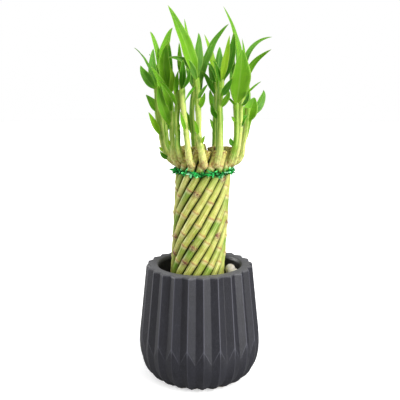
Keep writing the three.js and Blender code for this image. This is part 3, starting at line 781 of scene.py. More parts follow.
def inside(radius, height, rim=0.0):
    """A plain round ring with its masks."""
    return outside((radius, radius), (height, height), 0.0, 0.0, rim)


def belly(along):
    """A ring on the two arcs from the foot to the belt."""
    radii, heights = [], []
    for foot, handle, belt, height in zip(FOOT, BELLY_HANDLES, BELT, BELT_HEIGHTS):
        start, bend, end = Vector((foot, EDGE_ROUND / 2)), Vector(handle), Vector((belt, height))
        place = start.lerp(bend, along).lerp(bend.lerp(end, along), along)
        radii.append(place[0])
        heights.append(place[1])
    return outside(radii, heights, BELLY_RUBBED_AND_LIT)


def zigzag(offset, valley):
    """The belt's ring, or one just above or below it, with how pale its valleys are, from wear and painted
    highlight.
    """
    radii = []
    for rim, belt, handle, height in zip(RIM, BELT, BELLY_HANDLES, BELT_HEIGHTS):
        if offset > 0:
            slope = (rim - belt) / (POT_HEIGHT - EDGE_ROUND - height)
        else:
            slope = (handle[0] - belt) / (handle[1] - height)
        radii.append(belt + slope * offset)
    return pleat_ring(radii, [height + offset for height in BELT_HEIGHTS]), (1.0, valley), 0.0, 0.0


def pot_rings():
    """The rings from the foot up the outside, over the rim and down the inside, with their masks."""
    top, soft = POT_HEIGHT, EDGE_ROUND
    return [
        outside(drawn_in(FOOT, soft / 2), (0, 0), FOOT_RUBBED_AND_LIT, foot=1.0),
        outside(FOOT, (soft / 2, soft / 2), 1.0, foot=1.0),
        *[belly(step / BELLY_STEPS) for step in range(1, BELLY_STEPS)],
        zigzag(-BELT_EDGE, 0.0),
        zigzag(0, 1.0),
        zigzag(BELT_EDGE, 0.0),
        outside(RIM, (top - soft, top - soft), 1.0),
        outside(drawn_in(RIM, soft * RIM_EDGE), (top - soft * RIM_EDGE,) * 2, 1.0, rim=0.5),
        outside(drawn_in(RIM, soft), (top, top), 0.0, rim=1.0),
        inside(MOUTH + soft / 2, top, MOUTH_HIGHLIGHT),
        inside(MOUTH, top - soft / 2, WALL_HIGHLIGHT),
        *[inside(radius, height) for radius, height in CAVITY],
    ]


print(len(pot_rings()), "rings")

# %% [markdown]
# The rings become one closed skin. A bevel then rounds each fold, because fired clay has no knife
# edge. Weighted normals keep the flat facets flat beside their narrow rounded folds.

# %% Pot
FOLD_ROUND, FOLD_STEPS = 0.55, 2
SHARP_FROM = 14  # degrees between two facets


def pot_mesh():
    """The closed skin of the pot, which carries the masks for its finish."""
    rings = pot_rings()
    points = [(place * MM, ridges[step % 2], foot, rim)
              for ring, ridges, foot, rim in rings for step, place in enumerate(ring)]
    places, *masks = zip(*points)
    faces = []
    for low in range(0, len(places) - RING_POINTS, RING_POINTS):
        high = low + RING_POINTS
        for step in range(RING_POINTS):
            beside = (step + 1) % RING_POINTS
            faces.append((low + step, low + beside, high + beside, high + step))
    faces.append(tuple(reversed(range(RING_POINTS))))
    faces.append(tuple(range(len(places) - RING_POINTS, len(places))))
    mesh = bpy.data.meshes.new("pot")
    mesh.from_pydata(places, [], faces)
    for label, values in zip(("ridge", "foot", "rim"), masks):
        mesh.attributes.new(label, "FLOAT", "POINT").data.foreach_set("value", values)
    smooth_mesh(mesh, POT_FINISH)
    return mesh


pot = finish_piece("pleated_pot", pot_mesh(), "pot_ceramic", "pot")
fold = pot.modifiers.new("fold_round", "BEVEL")
fold.width = FOLD_ROUND * MM
fold.segments = FOLD_STEPS
fold.limit_method = "ANGLE"
fold.angle_limit = math.radians(SHARP_FROM)
even = pot.modifiers.new("even_facets", "WEIGHTED_NORMAL")
even.keep_sharp = True
report("pot", [pot])

# %% [markdown]
# Gravel repeats hundreds of times, so Geometry Nodes scatter it: points at least a few
# millimetres apart on the upward faces of the bed, a low stone on each, turned and squashed by a
# seeded draw. The bed itself is the solid's own shape, merged into one skin.

# %% Gravel
GRAIN_GAP = 3.1
GRAIN_RADIUS = 2.3
GRAINS_PER_SQUARE_METRE = 4e5  # before those that stand too close are left out
GRAIN_LEVELS = 2
UPWARD = 0.7  # how much a face has to look up, where 1 is straight up
SQUASH = ((0.75, 0.7, 0.55), (1.15, 1.0, 0.85))  # least and greatest scale of a grain
GRAIN_TURN = ((-0.5, -0.5, 0.0), (0.5, 0.5, math.tau))
WELD = 0.01  # corners nearer to each other than this become one


def random_vector(tree, least, most, seed):
    """A seeded draw for each point, between two vectors."""
    return put(tree, "FunctionNodeRandomValue", {"Min": least, "Max": most, "Seed": seed},
               data_type="FLOAT_VECTOR").outputs[0]


def scatter_tree():
    """Low stones on every face that looks up, over the starting mesh itself."""
    tree, given = geometry_tree("gravel over a bed", {
        "Gap": float, "Radius": float, "Seed": int, "Skin": bpy.types.Material})
    facing = put(tree, "ShaderNodeSeparateXYZ", {0: put(tree, "GeometryNodeInputNormal").outputs[0]})
    upward = put(tree, "FunctionNodeCompare", {0: facing.outputs["Z"], 1: UPWARD},
                 operation="GREATER_THAN")
    points = put(tree, "GeometryNodeDistributePointsOnFaces", {
        "Mesh": given["Geometry"], "Selection": upward.outputs[0], "Distance Min": given["Gap"],
        "Density Max": GRAINS_PER_SQUARE_METRE, "Seed": given["Seed"]}, distribute_method="POISSON")
    stone = put(tree, "GeometryNodeMeshIcoSphere", {
        "Radius": given["Radius"], "Subdivisions": GRAIN_LEVELS})
    stones = put(tree, "GeometryNodeInstanceOnPoints", {
        "Points": points.outputs["Points"], "Instance": shaded_smooth(tree, stone.outputs["Mesh"]),
        "Rotation": random_vector(tree, *GRAIN_TURN, given["Seed"]),
        "Scale": random_vector(tree, *SQUASH, given["Seed"])})
    end_tree(tree, joined(tree, given["Geometry"], stones.outputs[0]), given["Skin"])
    return tree


def merged_copy(node):
    """A solid's mesh with its loose triangles joined at their corners."""
    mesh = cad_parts[node].data.copy()
    shape = bmesh.new()
    shape.from_mesh(mesh)
    bmesh.ops.remove_doubles(shape, verts=shape.verts, dist=WELD * MM)
    shape.to_mesh(mesh)
    shape.free()
    mesh.materials.clear()
    return mesh


SCATTER = scatter_tree()
gravel = []
for seed, node in enumerate(["gravel_bed", "gravel_core"]):
    values = {"Gap": GRAIN_GAP * MM, "Radius": GRAIN_RADIUS * MM, "Seed": seed, "Skin": GRAVEL_FINISH}
    grained = run_tree(SCATTER, merged_copy(node), values)
    gravel.append(finish_piece(f"grained_{node}", grained, "gravel", node))
report("gravel", gravel)

# %% [markdown]
# The loose stones are worn, so each starts from its solid and is rounded by two levels of
# subdivision, then given slow dents by noise. Rounding shrinks a coarse shape a little, and a small
# swelling makes up for it.

# %% Pebbles
PEBBLES = 13
ROUNDING_LEVELS = 2
SWELL = 1.06  # makes up for what the rounding takes
DENT = 0.035  # of the distance from the middle
DENTS_PER_METRE = 160


def round_off(modifier):
    """Sets the same subdivision for the view and the render."""
    modifier.levels = modifier.render_levels = ROUNDING_LEVELS


def pebble_mesh(node):
    """A solid's coarse stone, rounded and dented."""
    mesh = run_modifier(merged_copy(node), "SUBSURF", round_off)
    middle = sum((vertex.co for vertex in mesh.vertices), Vector()) / len(mesh.vertices)
    for vertex in mesh.vertices:
        dent = 1 + DENT * noise.noise(vertex.co * DENTS_PER_METRE)
        vertex.co = middle + (vertex.co - middle) * SWELL * dent
    smooth_mesh(mesh, PEBBLE_FINISH)
    return mesh


pebbles = []
for number in range(1, PEBBLES + 1):
    node = f"pebble_{number:02d}"
    pebbles.append(finish_piece(f"worn_{node}", pebble_mesh(node), "pebble", node))
report("pebbles", pebbles)

# %% [markdown]
# Canes, stems and blades all follow a path, so one idea makes them all. Python writes the path as
# a row of points that carry their own values: how thick the piece is there, and the masks that its
# finish reads. Each value becomes an attribute of the mesh, which a geometry tree can read by name.

# %% Paths that carry values
def path_mesh(paths):
    """Points joined by edges, one chain for each path. Every other value becomes an attribute."""
    mesh = bpy.data.meshes.new("paths")
    edges, start = [], 0
    for path in paths:
        edges += [(start + step, start + step + 1) for step in range(len(path) - 1)]
        start += len(path)
    points = [point for path in paths for point in path]
    mesh.from_pydata([point["place"] * MM for point in points], edges, [])
    for label, sample in points[0].items():
        if label == "place":
            continue
        if isinstance(sample, float):
            values = mesh.attributes.new(label, "FLOAT", "POINT").data
            values.foreach_set("value", [point[label] for point in points])
        else:
            values = mesh.attributes.new(label, "FLOAT_VECTOR", "POINT").data
            values.foreach_set("vector", [number for point in points for number in point[label]])
    return mesh


print("paths can carry values")

# %% [markdown]
# A geometry tree sweeps a section along a path. It also stores two values for the finishes:
# "fibre", each point's place as if the piece were straight, so that streaks run along it and never
# slide, and "across", from -1 to 1, the place from one side of the section to the other.

# %% Sweeping a section along a path
def named(tree, label, data_type="FLOAT"):
    """A value that the geometry carries."""
    node = put(tree, "GeometryNodeInputNamedAttribute", {"Name": label}, data_type=data_type)
    return node.outputs["Attribute"]


def store(tree, geometry, label, value, data_type="FLOAT", domain="POINT"):
    """The same geometry, which now carries one more value."""
    node = put(tree, "GeometryNodeStoreNamedAttribute", {
        "Geometry": geometry, "Name": label, "Value": value}, data_type=data_type, domain=domain)
    return node.outputs[0]


def captured(tree, geometry, kind, value):
    """The same geometry, and a value as it was at this step."""
    capture = put(tree, "GeometryNodeCaptureAttribute", {"Geometry": geometry})
    capture.capture_items.new(kind, "Kept")
    tree.links.new(value, capture.inputs["Kept"])
    return capture.outputs["Geometry"], capture.outputs["Kept"]


def sweep(tree, paths, section):
    """Sweeps a section, one unit wide, along every path, and stores the straightened place."""
    chain = put(tree, "GeometryNodeMeshToCurve", {"Mesh": paths}).outputs[0]
    facing = put(tree, "GeometryNodeSetCurveNormal", {
        "Curve": chain, "Normal": named(tree, "side", "FLOAT_VECTOR")}, mode="FREE").outputs[0]
    along = put(tree, "GeometryNodeSplineParameter").outputs["Length"]
    chain, length = captured(tree, facing, "FLOAT", along)
    on_section = put(tree, "GeometryNodeInputPosition").outputs[0]
    outline, place = captured(tree, section, "VECTOR", on_section)
    thick = named(tree, "thick")
    swept = put(tree, "GeometryNodeCurveToMesh", {
        "Curve": chain, "Profile Curve": outline, "Scale": thick, "Fill Caps": True}).outputs[0]
    place = put(tree, "ShaderNodeSeparateXYZ", {0: place}).outputs
    fibre = put(tree, "ShaderNodeCombineXYZ", {
        "X": length, "Y": times(tree, place["X"], thick), "Z": times(tree, place["Y"], thick)})
    kept = store(tree, swept, "fibre", fibre.outputs[0], "FLOAT_VECTOR")
    return store(tree, kept, "across", place["X"])


def round_section(tree, sides):
    """A circle of radius 1."""
    return put(tree, "GeometryNodeCurvePrimitiveCircle", {"Resolution": sides, "Radius": 1.0}).outputs[0]


print("sections can be swept")

# %% [markdown]
# The canes run round the bundle's axis as a right-handed rope, and the whole bundle leans a
# little to the right. Rings come every 2 or 3 cm. Where the real plant shows them they are placed
# one by one, and elsewhere a seeded draw spaces them. The last ring of each is where its shoot grew.

# %% The course of a cane
CANES = 16
BUNDLE_RADIUS = 23.7
LEAN = 0.0574  # sideways travel for each millimetre of height
LEAN_START = 150.4
TWIST = 1.23  # degrees for each millimetre of height, up to the tie
TWIST_ABOVE_TIE = 0.8
TIE_HEIGHT = 218
CANE_TURN_START = -166.4
CANE_THIN, CANE_THICK = 3.5, 3.85
CANE_FOOT = 10.3
CANE_TOP, CANE_TOP_SPREAD = 240, 2.5
SHOOT_RING = 225
RINGS_SEEN = {  # heights, by the number of the cane
    8: [122, 150, 178, 202],
    9: [128, 153, 176, 199],
    10: [112, 136, 158, 180, 202],
    11: [106, 129, 145, 167, 189, 212],
    12: [104, 129, 144, 157, 173, 204],
    13: [106, 128, 149, 171, 193],
    14: [108, 130, 154, 176, 198],
    15: [102, 125, 141, 165, 190],
}
FIRST_RING, FIRST_RING_SPREAD = 100, 14
RING_GAP, RING_GAP_SPREAD = 20, 10
LAST_PLAIN_RING = 208
RING_SEED, SIZE_SEED, SIZE_SEED_STEP = 40, 900, 7


def cane_middle(cane, height):
    """The middle of a cane's even course at a height."""
    below, above = min(height, TIE_HEIGHT), max(height - TIE_HEIGHT, 0)
    degrees = CANE_TURN_START + 360 / CANES * cane + TWIST * below + TWIST_ABOVE_TIE * above
    turn = math.radians(degrees)
    sideways = LEAN * (height - LEAN_START)
    return Vector((sideways + BUNDLE_RADIUS * math.cos(turn), BUNDLE_RADIUS * math.sin(turn), height))


def cane_rings(cane):
    """The heights of a cane's rings."""
    if cane + 1 in RINGS_SEEN:
        return [*RINGS_SEEN[cane + 1], SHOOT_RING]
    draw = drawer(RING_SEED + cane)
    heights = []
    height = FIRST_RING + FIRST_RING_SPREAD * next(draw)
    while height < LAST_PLAIN_RING:
        heights.append(height)
        height += RING_GAP + RING_GAP_SPREAD * next(draw)
    return [*heights, SHOOT_RING]


def cane_size(cane):
    """A cane's radius and the height of its cut top. The first draw hardly varies, so it is unused."""
    draw = drawer(SIZE_SEED + SIZE_SEED_STEP * cane)
    next(draw)
    radius = CANE_THIN + (CANE_THICK - CANE_THIN) * next(draw)
    return radius, CANE_TOP + CANE_TOP_SPREAD * (next(draw) - 0.5)


print("the first cane's foot, mm:", [round(value) for value in cane_middle(0, CANE_FOOT)])

# %% [markdown]
# A real cane grew straight from ring to ring and was then bent, so it isn't quite even: at each
# ring it lies a little to one side. At a ring it also swells below the scar and draws in above it.
# Each mark is a bell curve round its ring. The green stretch is longer: it fades downwards.

# %% Bends and marks at a cane's rings
KINK = 0.75  # how far aside a cane bends at a ring, at most
# The reach of each mark, and how far below the ring's middle it is strongest
SWELLING, RIDGE = (1.6, 0.6), (0.35, 0)
SCAR, COLLAR = (0.75, 0), (0.9, 1.6)
STAIN, BLUSH = (3.4, 0.5), (1.1, 0.5)
RIDGE_HEIGHT = 0.5  # against the swelling's
SCAR_LEAST, BLUSH_MOST = 0.65, 0.6
GREEN_DEPTH, GREEN_REACH, GREEN_CLEAR = 2.3, 13, 2.2
# Rings with a strong purple stain: the number of the cane, and the ring's place in its list
STAINED = {(9, 3), (9, 1), (12, 2), (12, 1), (11, 5), (14, 2), (10, 1), (15, 3)}
KINK_SEED = 6000
MARK_SEED_STEPS = (31, 7)  # from cane to cane, and from ring to ring


def bell(distance, reach, below=0):
    """1 in the middle, falling away on both sides, with the middle moved below if need be."""
    return math.exp(-(((distance + below) / reach) ** 2))


def cane_kink(cane, height, rings):
    """How far a cane lies beside its even course."""
    draw = drawer(KINK_SEED + cane)
    stops = [CANE_FOOT, *rings]
    shifts = [0.0, *[KINK * (2 * next(draw) - 1) for ring in rings[:-1]], 0.0]
    for low, high, here, there in zip(stops, stops[1:], shifts, shifts[1:]):
        if height <= high:
            return here + (there - here) * (height - low) / (high - low)
    return 0.0


def cane_marks(cane, height, rings):
    """How much a cane swells at a height, and how strong each mark of its rings is there."""
    swell = scar = collar = green = stain = 0.0
    for number, ring in enumerate(rings):
        past = height - ring
        draw = drawer(MARK_SEED_STEPS[0] * cane + MARK_SEED_STEPS[1] * number)
        depth, blush, sap = next(draw), next(draw), next(draw)
        strong = (cane + 1, number) in STAINED
        spread = bell(past, *STAIN) if strong else BLUSH_MOST * blush * bell(past, *BLUSH)
        swell += bell(past, *SWELLING) + RIDGE_HEIGHT * bell(past, *RIDGE)
        scar = max(scar, (SCAR_LEAST + (1 - SCAR_LEAST) * depth) * bell(past, *SCAR))
        collar = max(collar, bell(past, *COLLAR))
        stain = max(stain, spread)
        if past < 0:
            fade = math.exp(past / GREEN_REACH) * (1 - bell(past, GREEN_CLEAR))
            green = max(green, GREEN_DEPTH * sap**2 * fade)
    return swell, {"scar": scar, "collar": collar, "green": min(green, 1.0), "stain": stain}


print(sum(len(cane_rings(cane)) for cane in range(CANES)), "rings,", len(STAINED), "with a strong stain")

# %% [markdown]
# The path needs close points where a ring swells and wide ones between, so plain points keep
# their distance from those of the rings. The last point is drawn in a little, for a worn cut edge.

# %% Canes as paths
CANE_FULL = 0.4  # how much fuller the finished canes are than their eight-sided solids
CANE_SWELL = 0.42
DRY_REACH, DRY_FADE = 11, 8  # how far below the cut it is dry at all, and over what length this fades
PALE_SEED, PALE_SEED_STEP = 5000, 771
RING_STEPS = (-9, -6, -4, -2.2, -1.2, -0.6, -0.2, 0.2, 0.6, 1.4, 3)
TOP_STEPS = (0, 0.5, 2, 4)  # below the cut
PLAIN_STEP, PLAIN_CLEAR = 5, 1.5  # between plain points, and from them to any other
CUT_WORN = 0.35


def cane_point(cane, height, radius, top, rings):
    """One point of a cane's path, with its thickness and the masks for its finish."""
    swell, marks = cane_marks(cane, height, rings)
    run = cane_middle(cane, height + 1) - cane_middle(cane, height - 1)
    side = run.cross(Vector((0, 0, 1))).normalized()
    beside = side.cross(run).normalized()
    return {
        "place": cane_middle(cane, height) + beside * cane_kink(cane, height, rings),
        "thick": (radius + CANE_FULL + CANE_SWELL * swell) * MM,
        "side": side,
        "pale": next(drawer(PALE_SEED + PALE_SEED_STEP * cane)),
        "dry": max(0.0, min(1.0, (height - (top - DRY_REACH)) / DRY_FADE)),
        **marks,
    }


def cane_path(cane):
    """A cane's points from its foot to its cut top."""
    radius, top = cane_size(cane)
    rings = cane_rings(cane)
    heights = {CANE_FOOT, *[top - step for step in TOP_STEPS]}
    heights |= {ring + step for ring in rings for step in RING_STEPS}
    plain = CANE_FOOT + PLAIN_STEP
    while plain < top:
        if all(abs(plain - height) > PLAIN_CLEAR for height in heights):
            heights.add(plain)
        plain += PLAIN_STEP
    path = [cane_point(cane, height, radius, top, rings) for height in sorted(heights) if height <= top]
    path[-1]["thick"] -= CUT_WORN * MM
    return path


print("points on the first cane's path:", len(cane_path(0)))

# %% [markdown]
# All sixteen canes come from one tree, which sweeps a round section along each path. The section
# has enough sides for a smooth outline, where the solids make do with eight.

# %% Canes
CANE_SECTION = 24


def cane_tree():
    """A round section swept along a cane's path."""
    tree, given = geometry_tree("cane along its path", {"Sides": int, "Skin": bpy.types.Material})
    swept = sweep(tree, given["Geometry"], round_section(tree, given["Sides"]))
    end_tree(tree, shaded_smooth(tree, swept), given["Skin"])
    return tree


CANE_TREE = cane_tree()
canes = []
for cane in range(CANES):
    values = {"Sides": CANE_SECTION, "Skin": CANE_FINISH}
    mesh = run_tree(CANE_TREE, path_mesh([cane_path(cane)]), values)
    node = f"cane_{cane + 1:02d}"
    canes.append(finish_piece(f"waxy_{node}", mesh, "cane", node))
report("canes", canes)

# %% [markdown]
# The sixteen shoots are the heart of the plant, and no rule places their leaves, so each is given
# one by one. A shoot starts with its radius at the cane and its greenness, from 0, nearly white, to 1,
# deep green. Then come the places that its stem passes, and a row for each leaf or stub of one.

# %% Shoots and their tones
class Shoot:
    """A stem's radius at the cane, its greenness, the places it passes, and its leaves."""

    def __init__(self, base, greenness, route, leaves):
        self.base = base
        self.greenness = greenness
        self.route = [Vector(place) for place in route]
        self.leaves = leaves


FRESH = linear(138, 182, 34)
GREEN = linear(104, 160, 24)
BLUISH = linear(90, 144, 42)
DEEP = linear(64, 124, 16)
print("deep green in linear light:", [round(value, 3) for value in DEEP])

# %% [markdown]
# A leaf's row says how high on its stem it starts, which place it passes and where its tip is. Then
# come its greatest width, how far its face is turned from the front, in degrees, and its tone. The
# first five shoots stand at the back and on the left, in the order of their canes.

# %% Shoots at the back and on the left
# Each leaf: where it leaves its stem, a place it passes, its tip, its width, its facing, its tone
SHOOTS = [
    Shoot(3.4, 0.75, [
        (-3, 25, 230), (-5, 29, 236), (-6, 30, 245), (-7, 30, 258), (-8, 29, 271), (-7, 28, 287),
        (-4, 26, 303),
    ], [
        (248, (-11, 31, 264), (-14, 36, 275), 7.5, 30, GREEN),
        (297, (-10, 29, 309), (-14, 33, 318), 7.5, 41, BLUISH),
        (299, (-10, 42, 321), (-11, 53, 340), 10, -42, GREEN),
        (302, (-12, 38, 346), (-16, 54, 370), 4.8, 40, GREEN),
    ]),
    Shoot(3.4, 0.7, [
        (-19, 20, 228), (-28, 25, 232), (-33, 27, 240), (-35, 28, 251), (-36, 29, 266),
        (-35, 30, 282), (-33, 30, 297),
    ], [
        (252, (-33, 28, 262), (-32, 28, 271), 5, 23, DEEP),
        (287, (-42, 45, 299), (-51, 58, 309), 10, -40, GREEN),
        (295, (-39, 41, 315), (-44, 56, 330), 11, -40, GREEN),
        (296, (-33, 38, 319), (-35, 48, 340), 10.5, 38, GREEN),
    ]),
    Shoot(3.4, 0.8, [
        (-22, 10, 227), (-30, 13, 232), (-35, 14, 240), (-38, 15, 252), (-39, 15, 267),
        (-38, 15, 282), (-37, 14, 299),
    ], [
        (279, (-45, 32, 289), (-48, 48, 294), 5.5, 34, GREEN),
        (287, (-43, 30, 303), (-49, 43, 317), 9.5, 34, GREEN),
        (295, (-34.5, 17, 335), (-27, 24, 359), 11.5, -30, GREEN),
        (297, (-47, 18, 326), (-51, 25, 332), 5, 60, GREEN),
        (297, (-43.4, 20, 337), (-49.8, 24, 355), 6, 40, GREEN),
    ]),
    Shoot(3.4, 0.45, [
        (-24, 1, 225), (-31, 1, 231), (-36, 0, 241), (-38.3, -1, 255), (-41, -2, 268),
        (-41.5, -2, 283), (-42, -2, 300),
    ], [
        (251, (-45, -12, 266), (-49, -23, 277), 7, 40, FRESH),
        (276, (-47, -2, 285), (-53, 2, 293), 9, 34, GREEN),
        (297, (-52.5, -13, 310.5), (-56, -22, 321), 10, 35, BLUISH),
        (298, (-53, 6, 324.5), (-66, 22, 339), 7, 62, BLUISH),
        (299, (-46, 6, 319), (-46, 14, 338), 9, -23, BLUISH),
        (229, (-36, -4, 233), (-39, -5, 238), 4.5, 10, DEEP),
        (236, (-38.5, -3, 239.5), (-40, -4, 242), 3, 20, FRESH),
    ]),
    Shoot(3.8, 0.5, [
        (-20, -10, 225), (-25, -12, 232), (-26, -13, 242), (-27, -13, 254), (-27, -13, 269),
        (-28, -13, 284), (-30, -14, 298),
    ], [
        (281, (-35, -24, 300), (-45, -36, 320), 9, 39, GREEN),
        (262, (-36, -22, 284), (-39, -26, 302), 9.5, 10, GREEN),
        (274, (-31, -24, 290), (-36, -30, 304), 6.5, 25, GREEN),
        (293, (-26, -22, 307), (-28, -29, 320), 6.5, 25, FRESH),
        (296, (-34, -25, 322), (-30, -30, 340), 12.5, 23, GREEN),
        (297, (-29, -17, 324), (-29, -26, 343), 6.5, 28, DEEP),
        (243, (-29.5, -15, 247), (-30.5, -16, 251), 3, 15, FRESH),
    ]),
]
print(len(SHOOTS), "shoots so far")

# %% [markdown]
# The four shoots at the front show most. Two of them, the seventh and the eighth, have nearly white
# stems, and the eighth carries one of the plant's two tallest blades.

# %% Shoots at the front
# Each leaf: where it leaves its stem, a place it passes, its tip, its width, its facing, its tone
SHOOTS += [
    Shoot(3.4, 0.6, [
        (-17, -19, 231), (-19, -23, 237), (-21, -24, 245), (-21, -24, 255), (-22, -24, 270),
        (-21, -24, 284), (-22, -24, 298),
    ], [
        (258, (-20, -30, 263), (-18, -35, 267), 3, 30, FRESH),
        (281, (-27, -37, 297), (-38, -52, 308), 6.5, -39, GREEN),
        (291, (-22.3, -31, 305), (-19.5, -38, 316), 5.5, 27, GREEN),
    ]),
    Shoot(4, 0.1, [
        (-8, -26, 227), (-10, -29, 234), (-11, -30, 243), (-12.5, -30, 256), (-14, -30, 270),
        (-15.2, -30, 281), (-16.3, -29, 296), (-16.8, -28, 309),
    ], [
        (257, (-16, -37, 269), (-18, -41, 279), 4.5, 30, GREEN),
        (297, (-11.5, -41, 310), (-9, -52, 318), 8, 41, DEEP),
        (296, (-16, -38, 313), (-15, -46, 326), 7, 26, DEEP),
        (305, (-18.8, -28, 325), (-19, -30, 342), 6.5, 35, GREEN),
    ]),
    Shoot(4.3, 0.25, [
        (4, -26, 226), (3, -30, 233), (1.4, -31, 243), (-0.6, -31, 253), (-0.7, -31, 268), (-1.5, -30, 284),
        (-2, -29, 300), (-3, -28, 309),
    ], [
        (245, (3, -35, 252), (5, -37, 256), 3.5, 20, FRESH),
        (253, (-3, -37, 264), (-5, -41, 271), 4, 20, GREEN),
        (280, (3, -35, 288), (5, -38, 296), 5.5, -25, GREEN),
        (289, (2, -37, 297), (8, -40, 304), 4.5, 31, BLUISH),
        (302, (-9, -39, 296), (-14, -44, 287), 3, 50, DEEP),
        (304, (-11, -38, 323), (-29, -39, 328), 6.5, 10, BLUISH),
        (306, (-12.7, -41, 339), (-28, -53, 373), 12.8, 29, GREEN),
        (308, (-1.5, -24, 333), (-1, -25, 351), 10.5, 38, BLUISH),
    ]),
    Shoot(4, 0.45, [
        (16, -26, 227), (18, -29, 234), (20, -30, 243), (20, -30, 256), (20, -30, 270),
        (19, -30, 284), (20, -29, 298), (21, -28, 311),
    ], [
        (280, (25, -36, 291), (27, -41, 298), 6.5, 23, GREEN),
        (292, (26.5, -45, 301), (30, -59, 310), 7.5, -34, DEEP),
        (302, (16, -39, 317), (12, -50, 325), 5, 36, DEEP),
        (304, (23.5, -42, 327), (27, -52, 347), 7.5, 26, FRESH),
        (304, (29, -37, 328), (31, -45, 350), 9, -20, DEEP),
    ]),
]
print(len(SHOOTS), "shoots so far")

# %% [markdown]
# The next four stand on the right. Most of their leaves start close together at the top of the
# stem and fan out from there.

# %% Shoots on the right
# Each leaf: where it leaves its stem, a place it passes, its tip, its width, its facing, its tone
SHOOTS += [
    Shoot(3.2, 0.8, [
        (19, -13, 234), (19, -10, 239), (18.8, -9, 251), (18.8, -8, 269), (18.8, -6, 283), (18.8, -4, 298),
    ], [
        (269, (14, -13, 277), (12, -17, 286), 6.5, -34, DEEP),
        (296, (19, 0, 309), (22, 3, 321), 8.5, 36, GREEN),
        (297, (26, 3, 317), (31, 5, 334), 7.5, -32, GREEN),
    ]),
    Shoot(3.8, 0.65, [
        (29, -12, 226), (32, -14, 233), (34.5, -15, 242), (36, -15, 253), (36, -15, 267),
        (35.5, -15, 281), (36, -14, 294),
    ], [
        (243, (31, -17, 248), (30, -18, 252), 5, 0, DEEP),
        (266, (33, -18, 270), (31, -20, 273), 3, 20, GREEN),
        (281, (30, -19, 288), (25, -23, 292), 3, 50, DEEP),
        (283, (38, -31, 312), (39, -39, 335), 19.5, 12, GREEN),
        (290, (31, -15, 314), (34.5, -17, 338), 7.5, 31, BLUISH),
        (292, (37, -19, 334), (22.3, -23, 375), 7.5, 45, GREEN),
    ]),
    Shoot(3.6, 0.15, [
        (33, -3, 225), (36, -5, 233), (38, -6, 241), (39.3, -7, 252), (40.3, -7, 267), (40, -7, 280),
        (42, -6, 292),
    ], [
        (259, (42, -8, 268), (47, -6, 273), 7.5, -36, DEEP),
        (282, (45, -19, 289), (46, -27, 297), 5, 23, DEEP),
        (290, (50, -8, 299), (60, -7, 306), 3.5, 60, GREEN),
        (291, (39, -6, 321), (35, -9, 344), 8.5, 29, DEEP),
        (291, (43, 3, 325), (42, 13, 348), 7.5, 50, GREEN),
        (291, (47, -8, 332), (69.5, -10, 348), 5.5, -20, BLUISH),
        (291, (47, -9, 317), (68, -20, 336), 8, 35, GREEN),
    ]),
    Shoot(3.6, 0.4, [
        (32, 9, 224), (39, 9, 226), (43, 9, 233), (44, 9, 242), (46, 8, 254), (47, 7, 266),
        (48, 6, 280),
    ], [
        (232, (43, 8, 237), (46, 7, 240), 3, 0, GREEN),
        (264, (51.5, 6, 279), (55, 10, 290), 14.5, -8, GREEN),
        (279, (44, 16, 303), (39, 24, 323), 12, 36, GREEN),
    ]),
]
print(len(SHOOTS), "shoots so far")

# %% [markdown]
# The last three stand at the back on the right, and so close the ring. Their leaves show in the
# gaps between those in front.

# %% Shoots at the back on the right
# Each leaf: where it leaves its stem, a place it passes, its tip, its width, its facing, its tone
SHOOTS += [
    Shoot(3.4, 0.6, [
        (27, 19, 228), (36, 22, 233), (42, 23, 240), (47, 23, 249), (50, 22, 262), (53, 21, 275),
    ], [
        (269, (63, 25, 286), (66, 32, 297), 9.5, 33, BLUISH),
        (273, (57, 38, 282), (60, 53, 288), 9.5, -37, GREEN),
        (273, (48.5, 35, 293), (45, 47, 311), 10, -32, GREEN),
        (274, (48, 33, 303), (50, 45, 326), 9.5, -27, GREEN),
    ]),
    Shoot(3.4, 0.8, [
        (15, 25, 230), (15.8, 29, 237), (16, 30, 247), (16, 30, 261), (17, 30, 277), (17.5, 29, 292),
        (17.5, 28, 305),
    ], [
        (252, (13, 28, 262), (11, 29, 267), 4, 20, GREEN),
        (274, (13, 33, 287), (11, 39, 297), 6.5, -26, GREEN),
        (289, (10, 23, 306), (2, 19, 316), 6, -32, DEEP),
        (291, (12.5, 28, 309), (9.8, 31, 324), 6, 27, BLUISH),
        (301, (24, 46, 319), (28, 62, 338), 11, 37, GREEN),
        (303, (12, 20, 319), (6, 19, 324), 5, 60, DEEP),
        (304, (12, 31, 330), (5, 35, 353), 8, 37, FRESH),
        (304, (19.5, 35, 325), (21, 42, 341), 10, 23, DEEP),
    ]),
    Shoot(3.4, 0.6, [
        (5, 27, 230), (2, 30, 237), (0, 31, 247), (-1, 31, 264), (-1, 31, 282), (-1, 31, 297),
    ], [
        (291, (-3, 46, 299), (-6, 61, 311), 9, 31, GREEN),
        (295, (0, 40, 301), (4, 50, 310), 6.5, 42, DEEP),
        (296, (9, 20, 336), (29, 15, 362), 9.8, 39, BLUISH),
        (296, (0, 48, 324), (-4, 65, 343), 10, -30, GREEN),
    ]),
]
print(len(SHOOTS), "shoots,", sum(len(shoot.leaves) for shoot in SHOOTS), "leaves")

# %% [markdown]
# A stem follows a smooth curve through its places. The spline is centripetal, a kind that never
# overshoots where two places lie close together.

# %% Smooth curves for the stems
STEM_STEPS = 8  # points between two places of a route


